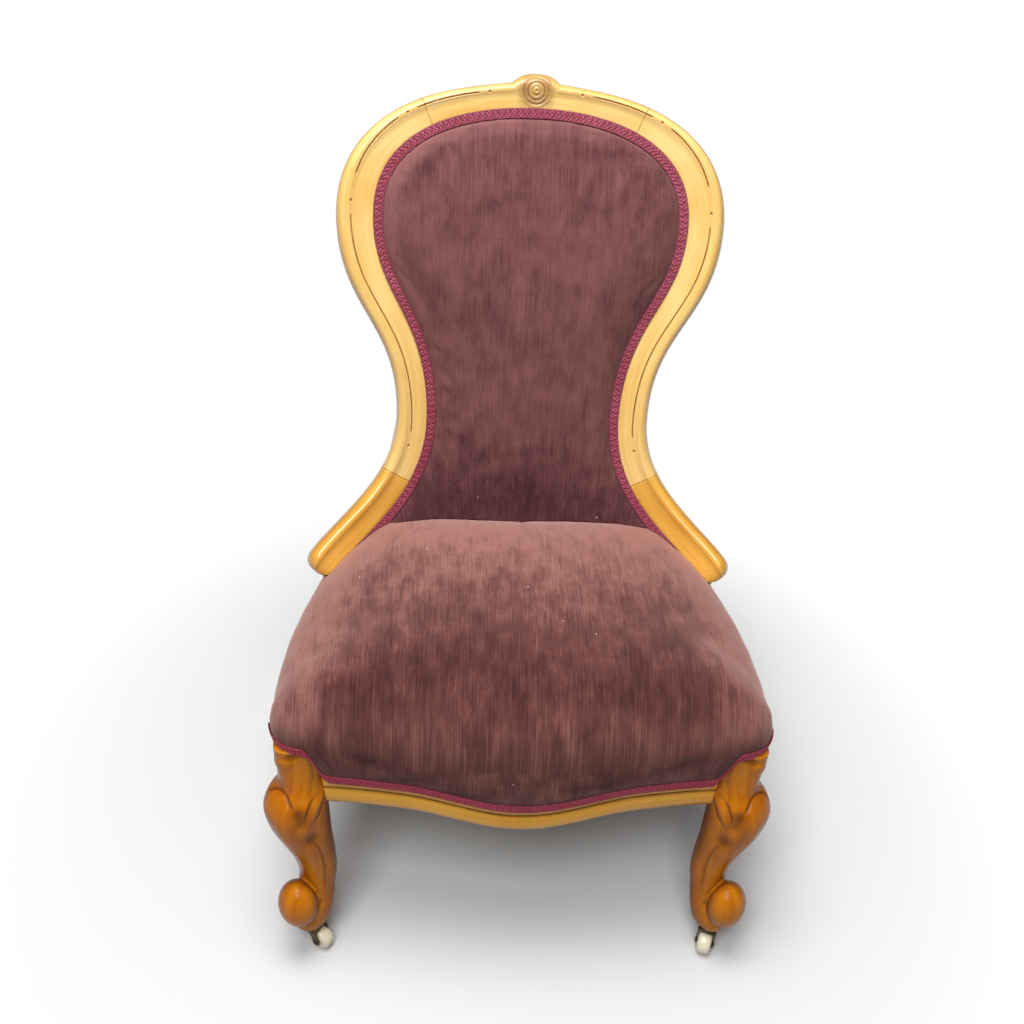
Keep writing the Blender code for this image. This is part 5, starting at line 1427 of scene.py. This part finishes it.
def back_pad():
    """The buttonless inside back: cover and stuffing, rolled at the edge, with short pulls at the waist."""
    rows, columns = 150, 91
    grid = pad_grid(rows, columns)
    far = edge_distance(grid)
    rolled = np.clip((far - ROLL_START) / PAD_ROLL, 0, 1)
    crown = PAD_EDGE + 0.0032 + (PAD_CROWN - 0.0022) * np.sqrt(1 - (1 - rolled) ** 2)
    front = pad_surface(grid, crown)
    flat_skin = skin("back_skin", front)
    held = (far < ROLL_START + 0.002) | (grid[..., 1] < 0.43)
    points = puffed(flat_skin, held.ravel(), 2.0, 0.004).reshape(rows, columns, 3)
    uneven = cloth_relief(points, grid[..., :2], BACK_CREASES, BACK_SWELLS, (1.6, 0.6))
    uneven = uneven * smooth((far - ROLL_START) / 0.016)
    points = points + points_of(flat_skin, "normal").reshape(rows, columns, 3) * uneven[..., None]
    # Painted light and shade on the pile: a painted highlight along the rim at the top left, paler in the
    # middle, darker at the top and much darker at the foot.
    painted_rim_highlight = bump((far - 0.009) / 0.016) * smooth((grid[..., 1] - 0.64) / 0.1)
    shade = 0.15 * painted_rim_highlight * smooth((0.17 - grid[..., 0]) / 0.2) + 0.06
    shade = shade - 0.06 * smooth((grid[..., 1] - 0.74) / 0.14) - 0.15 * smooth((0.56 - grid[..., 1]) / 0.12)
    under = pad_surface(grid, np.full(far.shape, PAD_BACK))
    values = {"along": grid[..., 1], "across": grid[..., 0], "shade": shade, "nap": np.full(far.shape, 0.8)}
    return closed_pad("back_pad", points, under, **values)


def back_canvas():
    """Hessian behind the back's stuffing."""
    grid = pad_grid(75, 45)
    flat = np.full(grid.shape[:2], PAD_BACK - FIT_GAP)
    front, back = pad_surface(grid, flat), pad_surface(grid, flat - HESSIAN_THICK)
    return closed_pad("back_canvas", front, back, along=grid[..., 1], across=grid[..., 0])


def outside_half(z):
    """Half-width of the outside back: lapped on the frame's back above, between the posts below."""
    lapped = float(np.interp(-z, -PAD_EDGE_LINE[60:, 2], PAD_EDGE_LINE[60:, 0])) + 0.010
    if z > POST_TOP_Z + 0.004:
        return lapped
    return min(lapped, post_centre(min(z, POST_TOP_Z))[0] - post_half(min(z, POST_TOP_Z))[0] - 4 * FIT_GAP)


def outside_back():
    """The plain velvet back: lapped behind the frame above, and drawn flat between the posts below."""
    arch_x, arch_z = PAD_EDGE_LINE[:61, 0], PAD_EDGE_LINE[:61, 2]
    top_z, low_z = arch_z[-1] + 0.005, 0.80
    heights = np.concatenate((np.linspace(top_z, low_z, 40), np.linspace(low_z, OUTSIDE_BOTTOM_Z, 110)[1:]))
    shares = np.linspace(-1, 1, 61)
    front = np.zeros((len(heights), len(shares), 3))
    for i, level in enumerate(heights):
        half = outside_half(level)
        for j, u in enumerate(shares):
            x = u * half
            arch = float(np.interp(abs(x), arch_x, arch_z)) - arch_z[-1]
            z = level + arch * max((level - low_z) / (top_z - low_z), 0) ** 2
            curl = float(smooth((z - LOWER_RAIL_Z - 0.02) / 0.08))
            middle = spoon_y(0, z)
            y = middle + (spoon_y(x, z) - middle) * curl
            y -= (BAND_BACK + 2 * SOFT_GAP) / spoon_front(x, z)[1]
            front[i, j] = (x, max(y, BACK_RAIL_Y + RAIL_THICK + FIT_GAP), z)
    pull = 0.0008 * noise_at(front.reshape(-1, 3), 17.0, 21.0).reshape(front.shape[:2])
    behind = front + np.stack((0 * pull, 0.0018 + np.maximum(pull, 0), 0 * pull), axis=-1)
    flat = np.zeros(front.shape[:2])
    values = {"along": front[..., 2], "across": front[..., 0], "shade": flat, "nap": flat}
    return closed_pad("outside_back", behind, front, **values)


GIMP_PITCH, GIMP_STEP, GIMP_POINTS = 0.0050, 0.0007, 19
CORD_HALF, EDGE_CORD_HALF = 0.0019, 0.0011


def gimp(name, middles, sides, ups, half=BRAID_WIDTH / 2):
    """A braid along a path: three wavy cords plaited over a thin ground, with a fine cord at each edge."""
    middles, sides, ups = (np.asarray(value) for value in (middles, sides, ups))
    run = lengths_along(middles)[:, None]
    across = np.linspace(-1, 1, GIMP_POINTS)[None] * half
    rise = np.zeros((len(run), GIMP_POINTS))
    for order in range(3):
        phase = 2 * math.pi * (run / (3 * GIMP_PITCH) + order / 3)
        line = 0.52 * half * np.sin(phase)
        over = 0.75 + 0.25 * np.cos(2 * phase + order)
        rise = np.maximum(rise, over * np.sqrt(np.maximum(1 - ((across - line) / CORD_HALF) ** 2, 0)))
    picot = 0.0004 * np.sin(2 * math.pi * run / GIMP_PITCH * 1.5)
    for edge in (-1, 1):
        line = edge * (half - EDGE_CORD_HALF) + picot
        rise = np.maximum(rise, 0.72 * np.sqrt(np.maximum(1 - ((across - line) / EDGE_CORD_HALF) ** 2, 0)))
    height = 0.0006 + 0.0016 * rise
    wide = across + 0.8 * picot * (np.abs(across) > 0.9 * half)
    top = middles[:, None] + sides[:, None] * wide[..., None] + ups[:, None] * height[..., None]
    base = np.stack([middles + sides * half * 0.96, middles - sides * half * 0.96], axis=1)
    rows = np.concatenate((top, base), axis=1)
    flat = np.zeros((len(run), 2))
    return skin(
        name, rows, wrap=True, caps=True, cord=np.concatenate((rise, flat), axis=1),
        along=run, across=np.concatenate((wide, flat), axis=1),
    )


def back_gimp():
    """Gimp over the join of back cover and frame, up one arm and down the other."""
    low = PAD_EDGE + 0.0036
    rows = []
    for t in stations_at(np.arange(0, band_run(PAD_LAST), GIMP_STEP)):
        point, _, front, out = band_axes(t)
        rows.append((point - out * (band_width(t) / 2 + BRAID_WIDTH / 2) + front * low, out, front))
    mirror = np.array((-1, 1, 1))
    rows = [tuple(value * mirror for value in row) for row in rows[:0:-1]] + rows
    return gimp("back_gimp", *zip(*rows))


def seat_gimp():
    """Gimp along the cover's lower edge, from one back post round the front to the other."""
    runs = np.arange(0.0, OUTLINE_RUN[-1], GIMP_STEP)
    angles = np.interp(runs, OUTLINE_RUN, OUTLINE_ANGLES)
    radii = np.interp(angles, OUTLINE_ANGLES, OUTLINE_RADII)
    y = SEAT_MIDDLE_Y + radii * np.sin(angles)
    first = int(np.argmax(y > BACK_RISE_Y))
    last = len(y) - int(np.argmax(y[::-1] > BACK_RISE_Y))
    order = np.concatenate((np.arange(last, len(y)), np.arange(0, first)))
    angles, radii = angles[order], radii[order]
    x, y = radii * np.cos(angles), SEAT_MIDDLE_Y + radii * np.sin(angles)
    edges = []
    for up in (0.0, 1.0):
        level = cover_edge(x, y) + SEAT_BRAID_LIFT - SEAT_BRAID_WIDTH * (1 - up)
        inset = np.minimum(skin_inset(x, y, level) - FIT_GAP, SHOW_INSET - 2 * SOFT_GAP)
        edges.append(seat_place(angles, radii - inset + 0.0004, level))
    middles = (edges[0] + edges[1]) / 2
    sides = unit(edges[1] - edges[0])
    ups = unit(np.cross(np.gradient(middles, axis=0), sides))
    return gimp("seat_gimp", middles, sides, ups, SEAT_BRAID_WIDTH / 2)


def strap_level(over):
    """Height of a strap's middle where it lies over, or under, the ones that it crosses."""
    wave = (STRAP_THICK + FIT_GAP) / 2
    middle = RAIL_BOTTOM - FIT_GAP - STRAP_THICK / 2 - wave
    return middle + (wave if over else -wave)


def strap(name, start, crossings, end, fixed, along_x, first_over):
    """A woven webbing strap that laps the rails' undersides at both ends."""
    reach = STRAP_WIDTH / 2 + 0.004
    marks, levels = [start, start + STRAP_LAP], [strap_level(True)] * 2
    for i, crossing in enumerate(crossings):
        over = first_over == (i % 2 == 0)
        marks += [crossing - reach, crossing + reach]
        levels += [strap_level(over)] * 2
    marks += [end - STRAP_LAP, end]
    levels += [strap_level(True)] * 2
    run = np.linspace(start, end, 161)
    height = np.interp(run, marks, levels)
    across = np.linspace(-STRAP_WIDTH / 2, STRAP_WIDTH / 2, 17)
    along, wide = np.meshgrid(run, across, indexing="ij")
    edge = 1 - 0.25 * smooth((np.abs(wide) - 0.021) / 0.004)
    faces = []
    for side in (1, -1):
        z = height[:, None] + side * STRAP_THICK / 2 * edge
        pair = (along, fixed + wide) if along_x else (fixed + wide, along)
        faces.append(np.stack((*pair, z), axis=-1))
    mesh = closed_pad(name, faces[0], faces[1], along=along, across=wide)
    item = piece(f"show_{name}", mesh, WEBBING, stands_for=[name])


def webbing():
    """Three straps each way, woven over and under each other."""
    columns = [step * STRAP_PITCH_X for step in (-1, 0, 1)]
    rows = [STRAP_MIDDLE_Y + step * STRAP_PITCH_Y for step in (-1, 0, 1)]
    for i, x in enumerate(columns):
        front = float(seat_front(abs(x) + STRAP_WIDTH / 2)) + SHOW_INSET + 0.018
        strap(f"webbing_front_to_back_{i + 1}", front, rows, BACK_RAIL_Y + STRAP_LAP, x, False, i % 2 == 0)
    for i, y in enumerate(rows):
        narrow = min(seat_half(y - STRAP_WIDTH / 2), seat_half(y + STRAP_WIDTH / 2))
        reach = narrow - SHOW_INSET - RAIL_THICK + STRAP_LAP
        strap(f"webbing_side_to_side_{i + 1}", -reach, columns, reach, y, True, i % 2 == 1)


def seat_springs():
    """Waisted coil springs of black wire, from the webbing up to the canvas."""
    wire, turns = 0.0018, 4.0
    bottom = strap_level(True) + STRAP_THICK / 2 + FIT_GAP + wire
    top = RAIL_TOP + HESSIAN_DOME - wire
    share = np.linspace(0, 1, int(turns * 40) + 1)
    radius = 0.022 + 0.012 * np.abs(2 * share - 1) ** 1.5
    angle = share * turns * 2 * math.pi
    path = np.stack((radius * np.cos(angle), radius * np.sin(angle), bottom + (top - bottom) * share), axis=1)
    ahead = unit(np.gradient(path, axis=0))
    out = np.stack((np.cos(angle), np.sin(angle), 0 * angle), axis=1)
    out = unit(out - ahead * np.sum(out * ahead, axis=1, keepdims=True))
    up = np.cross(ahead, out)
    around = np.linspace(0, 2 * math.pi, 12, endpoint=False)[None, :, None]
    rings = path[:, None] + wire * (np.cos(around) * out[:, None] + np.sin(around) * up[:, None])
    spots = [(0.0, 0)] + [(sx * STRAP_PITCH_X, sy) for sx in (-1, 1) for sy in (-1, 1)]
    for number, (x, row) in enumerate(spots, 1):
        place = (x, STRAP_MIDDLE_Y + row * STRAP_PITCH_Y, 0)
        mesh = skin(f"spring_{number}", rings + place, wrap=True, caps=True)
        piece(f"show_seat_spring_{number}", mesh, STEEL, stands_for=[f"seat_spring_{number}"])


def upholstery():
    """Seat, back, canvases, outside cloth and gimp; the seat, back, canvases and back gimp are cut clear of
    what they meet.
    """
    arm_meshes = [bpy.data.objects[f"show_{word}_arm"].data for word in SIDES]
    arms_grown = joined("arms", [swollen(mesh, SOFT_GAP) for mesh in arm_meshes])
    seat = cut_by(seat_pad(), arms_grown)
    seat_grown = swollen(seat, SOFT_GAP)
    canvas = cut_by(spring_canvas(), arms_grown)
    back = cut_by(back_pad(), seat_grown)
    behind = cut_by(back_canvas(), seat_grown)
    item = piece("seat_pad", seat, SEAT_VELVET, stands_for=["seat_cover", "seat_stuffing"])
    item = piece("back_pad", back, BACK_VELVET, stands_for=["back_cover", "back_stuffing"])
    item = piece("show_spring_canvas", canvas, HESSIAN, stands_for=["spring_canvas"])
    item = piece("show_back_canvas", behind, HESSIAN, stands_for=["back_canvas"])
    outside = outside_back()
    item = piece("show_outside_back_cover", outside, BACK_VELVET, stands_for=["outside_back_cover"])
    piece("show_back_braid", cut_by(back_gimp(), seat_grown), GIMP, stands_for=["back_braid"])
    piece("show_seat_braid", seat_gimp(), SEAT_GIMP, stands_for=["seat_braid"])


upholstery()
webbing()
seat_springs()


# Castors

PIN_RADIUS, PIN_BORE, CHEEK = 0.0040, 0.0044, 0.0020
SLOT_HALF = WHEEL_WIDTH / 2 + 0.0008
HORN_EYE = AXLE_RADIUS + 0.0022
QUARTER_TURN = Matrix.Rotation(math.pi / 2, 4, "X")


def foot_spot(corner):
    end, word = corner.split("_")
    x, y = (FRONT_FOOT_X, FRONT_FOOT_Y) if end == "front" else (REAR_FOOT_X, REAR_FOOT_Y)
    return SIDES[word] * x, y


def castor_plate():
    low, high = HORN_TOP + FIT_GAP, HORN_TOP + FIT_GAP + PLATE_THICK
    corners = ((PIN_BORE, low), (PLATE_RADIUS, low), (PLATE_RADIUS, high), (PIN_BORE, high))
    return ring_lathe("plate", rounded(corners, 2))


def castor_horn(axle_place):
    """A fork of two cheeks round the wheel, bored for the axle, with its swivel pin on top."""
    neck, throat = -PLATE_RADIUS * 0.62, HORN_TOP - 0.0055
    outline = [(neck, HORN_TOP), (neck, HORN_TOP - 0.0040), (0.0070, throat)]
    for turn in np.radians(np.linspace(185, 385, 12)):
        outline.append((CASTOR_TRAIL + HORN_EYE * math.cos(turn), AXLE_Z + HORN_EYE * math.sin(turn)))
    outline += [(CASTOR_TRAIL + HORN_EYE * 0.2, throat), (CASTOR_TRAIL + HORN_EYE * 0.3, HORN_TOP)]
    outline = rounded(outline, 2)
    middle = outline.mean(axis=0)
    face, bevel = SLOT_HALF + CHEEK, SLOT_HALF + CHEEK * 0.7
    rings = []
    for side, size in ((-face, 0.94), (-bevel, 1.0), (bevel, 1.0), (face, 0.94)):
        flat = middle + (outline - middle) * size
        rings.append(np.stack((flat[:, 0], np.full(len(flat), side), flat[:, 1]), axis=1))
    horn = skin("horn", rings, wrap=True, caps=True)
    gap_corners = ((-0.06, -0.04), (0.06, -0.04), (0.06, HORN_TOP - 0.005), (-0.06, HORN_TOP - 0.005))
    gap_rows = [[(u, side, v) for u, v in gap_corners] for side in (-SLOT_HALF, SLOT_HALF)]
    gap = skin("gap", gap_rows, wrap=True, caps=True)
    hole = lathe("hole", ((AXLE_RADIUS + FIT_GAP, -0.03), (AXLE_RADIUS + FIT_GAP, 0.03)))
    hole.transform(axle_place)
    pin = ((PIN_RADIUS, HORN_TOP - 0.0025), (PIN_RADIUS, HORN_TOP + 0.0090), (0.0032, HORN_TOP + 0.0095))
    return united("horn", cut_by(horn, gap, hole), lathe("stem", pin))


def castor_axle():
    reach, end = SLOT_HALF + CHEEK + 0.001, AXLE_RADIUS * 0.7
    shank = reach - 0.0006
    return lathe("axle", ((end, -reach), (AXLE_RADIUS, -shank), (AXLE_RADIUS, shank), (end, reach)))


def castor_wheel():
    bore, wide, tread = AXLE_RADIUS + 0.0004, WHEEL_WIDTH / 2, AXLE_Z
    half = [(bore, wide * 0.86), (tread * 0.34, wide), (tread * 0.72, wide), (tread, wide * 0.66)]
    other = [(radius, -side) for radius, side in half[::-1]]
    return ring_lathe("wheel", rounded(half + other, 3))


def castor(corner):
    """A brass socket plate, a swivelling two-cheeked horn, its axle and an ivory-glazed wheel."""
    foot = Matrix.Translation((*foot_spot(corner), 0))
    stand = foot @ Matrix.Rotation(math.radians(CASTOR_TURNS[corner]), 4, "Z")
    axle_place = Matrix.Translation((CASTOR_TRAIL, 0, AXLE_Z)) @ QUARTER_TURN
    parts = (
        ("plate", castor_plate(), foot, BRASS, "old_brass", "chair"),
        ("horn", castor_horn(axle_place), stand, BRASS, "old_brass", f"{corner}_swivel"),
        ("axle", castor_axle(), stand @ axle_place, BRASS, "old_brass", f"{corner}_swivel"),
        ("wheel", castor_wheel(), stand @ axle_place, CERAMIC, "ivory_ceramic", f"{corner}_roller"),
    )
    for part, mesh, place, finish, slot, body in parts:
        mesh.transform(place)
        name = f"{corner}_castor_{part}"
        piece(f"show_{name}", mesh, finish, body, [name])


for foot in CORNERS:
    castor(foot)

# CAD pieces that stay as they are, in bare wood
for name in ("back_seat_rail", "lower_back_rail", *(f"{foot}_corner_block" for foot in CORNERS)):
    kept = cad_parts[name]
    kept.data.materials.clear()
    kept.data.materials.append(BARE)


# Stage: floor, light and camera

FLOOR_HALF, FLOOR_NEAR, FLOOR_FAR, WORLD_STRENGTH = 8.0, 0.42, 0.72, 0.13
FLOOR_LIT, FLOOR_SEEN = (0.30, 0.30, 0.30, 1), (0.80, 0.80, 0.80, 1)
CAMERA_PLACE, CAMERA_LENS, SENSOR_WIDTH = (-0.0899, -1.1311, 1.293), 38.73, 36.0
CAMERA_TURNS = np.radians((3.88, 35.59, 3.55))


def stage():
    """A pale floor that keeps the shadow near the chair and runs out to plain white."""
    mesh = bpy.data.meshes.new("floor")
    corners = [(x * FLOOR_HALF, y * FLOOR_HALF, 0) for x, y in ((-1, -1), (1, -1), (1, 1), (-1, 1))]
    mesh.from_pydata(corners, [], [(0, 1, 2, 3)])
    floor = put("floor", mesh)
    made = bpy.data.materials.new("pale floor")
    made.use_nodes = True
    tree = made.node_tree
    shader = tree.nodes["Principled BSDF"]
    shader.inputs["Roughness"].default_value = 0.9
    shader.inputs["Specular IOR Level"].default_value = 0.1
    white = node(tree, "ShaderNodeEmission", {"Color": (1, 1, 1, 1), "Strength": 1.0}).outputs[0]
    far = node(tree, "ShaderNodeVectorMath", {0: object_place(tree)}, operation="LENGTH").outputs["Value"]
    share = map_range(tree, far, FLOOR_NEAR, FLOOR_FAR)
    rays = node(tree, "ShaderNodeLightPath").outputs
    seen = math_node(tree, "MAXIMUM", rays["Is Camera Ray"], rays["Is Glossy Ray"])
    seen = math_node(tree, "MAXIMUM", seen, rays["Is Transmission Ray"])
    link(tree, mix_colour(tree, seen, FLOOR_LIT, FLOOR_SEEN), shader.inputs["Base Color"])
    mixed = node(tree, "ShaderNodeMixShader", {0: math_node(tree, "MULTIPLY", share, seen)})
    tree.links.new(shader.outputs[0], mixed.inputs[1])
    tree.links.new(white, mixed.inputs[2])
    tree.links.new(mixed.outputs[0], tree.nodes["Material Output"].inputs["Surface"])
    mesh.materials.append(made)
    world = bpy.data.worlds.new("studio")
    bpy.context.scene.world = world
    world.use_nodes = True
    background = world.node_tree.nodes["Background"].inputs
    background["Color"].default_value = (1.0, 1.0, 1.0, 1)
    background["Strength"].default_value = WORLD_STRENGTH


def lamp(name, place, target, size, energy):
    """A soft white area lamp that faces its target."""
    data = bpy.data.lights.new(name, "AREA")
    data.shape = "RECTANGLE"
    data.size, data.size_y = size
    data.energy = energy
    item = put(name, data)
    item.location = place
    item.rotation_euler = (Vector(target) - Vector(place)).to_track_quat("-Z", "Y").to_euler()


def camera():
    """The photograph's viewpoint: a little left of the middle, above the crest, looking down at the seat."""
    yaw, pitch, roll = CAMERA_TURNS.tolist()
    ahead = Vector((math.sin(yaw) * math.cos(pitch), math.cos(yaw) * math.cos(pitch), -math.sin(pitch)))
    right = Vector((math.cos(yaw), -math.sin(yaw), 0))
    up = right.cross(ahead)
    tilted_right = right * math.cos(roll) + up * math.sin(roll)
    tilted_up = up * math.cos(roll) - right * math.sin(roll)
    data = bpy.data.cameras.new("camera")
    data.sensor_width, data.lens = SENSOR_WIDTH, CAMERA_LENS
    item = put("camera", data)
    turn = Matrix((tilted_right, tilted_up, -ahead)).transposed().to_4x4()
    item.matrix_world = Matrix.Translation(CAMERA_PLACE) @ turn
    bpy.context.scene.camera = item


stage()
lamp("overhead", place=(-0.25, -0.30, 2.7), target=(0, 0, 0.4), size=(1.2, 1.2), energy=50)
lamp("front", place=(-0.45, -1.75, 2.65), target=(0, 0, 0.6), size=(1.4, 1.0), energy=46)
camera()
bpy.context.scene.view_settings.view_transform = "Standard"
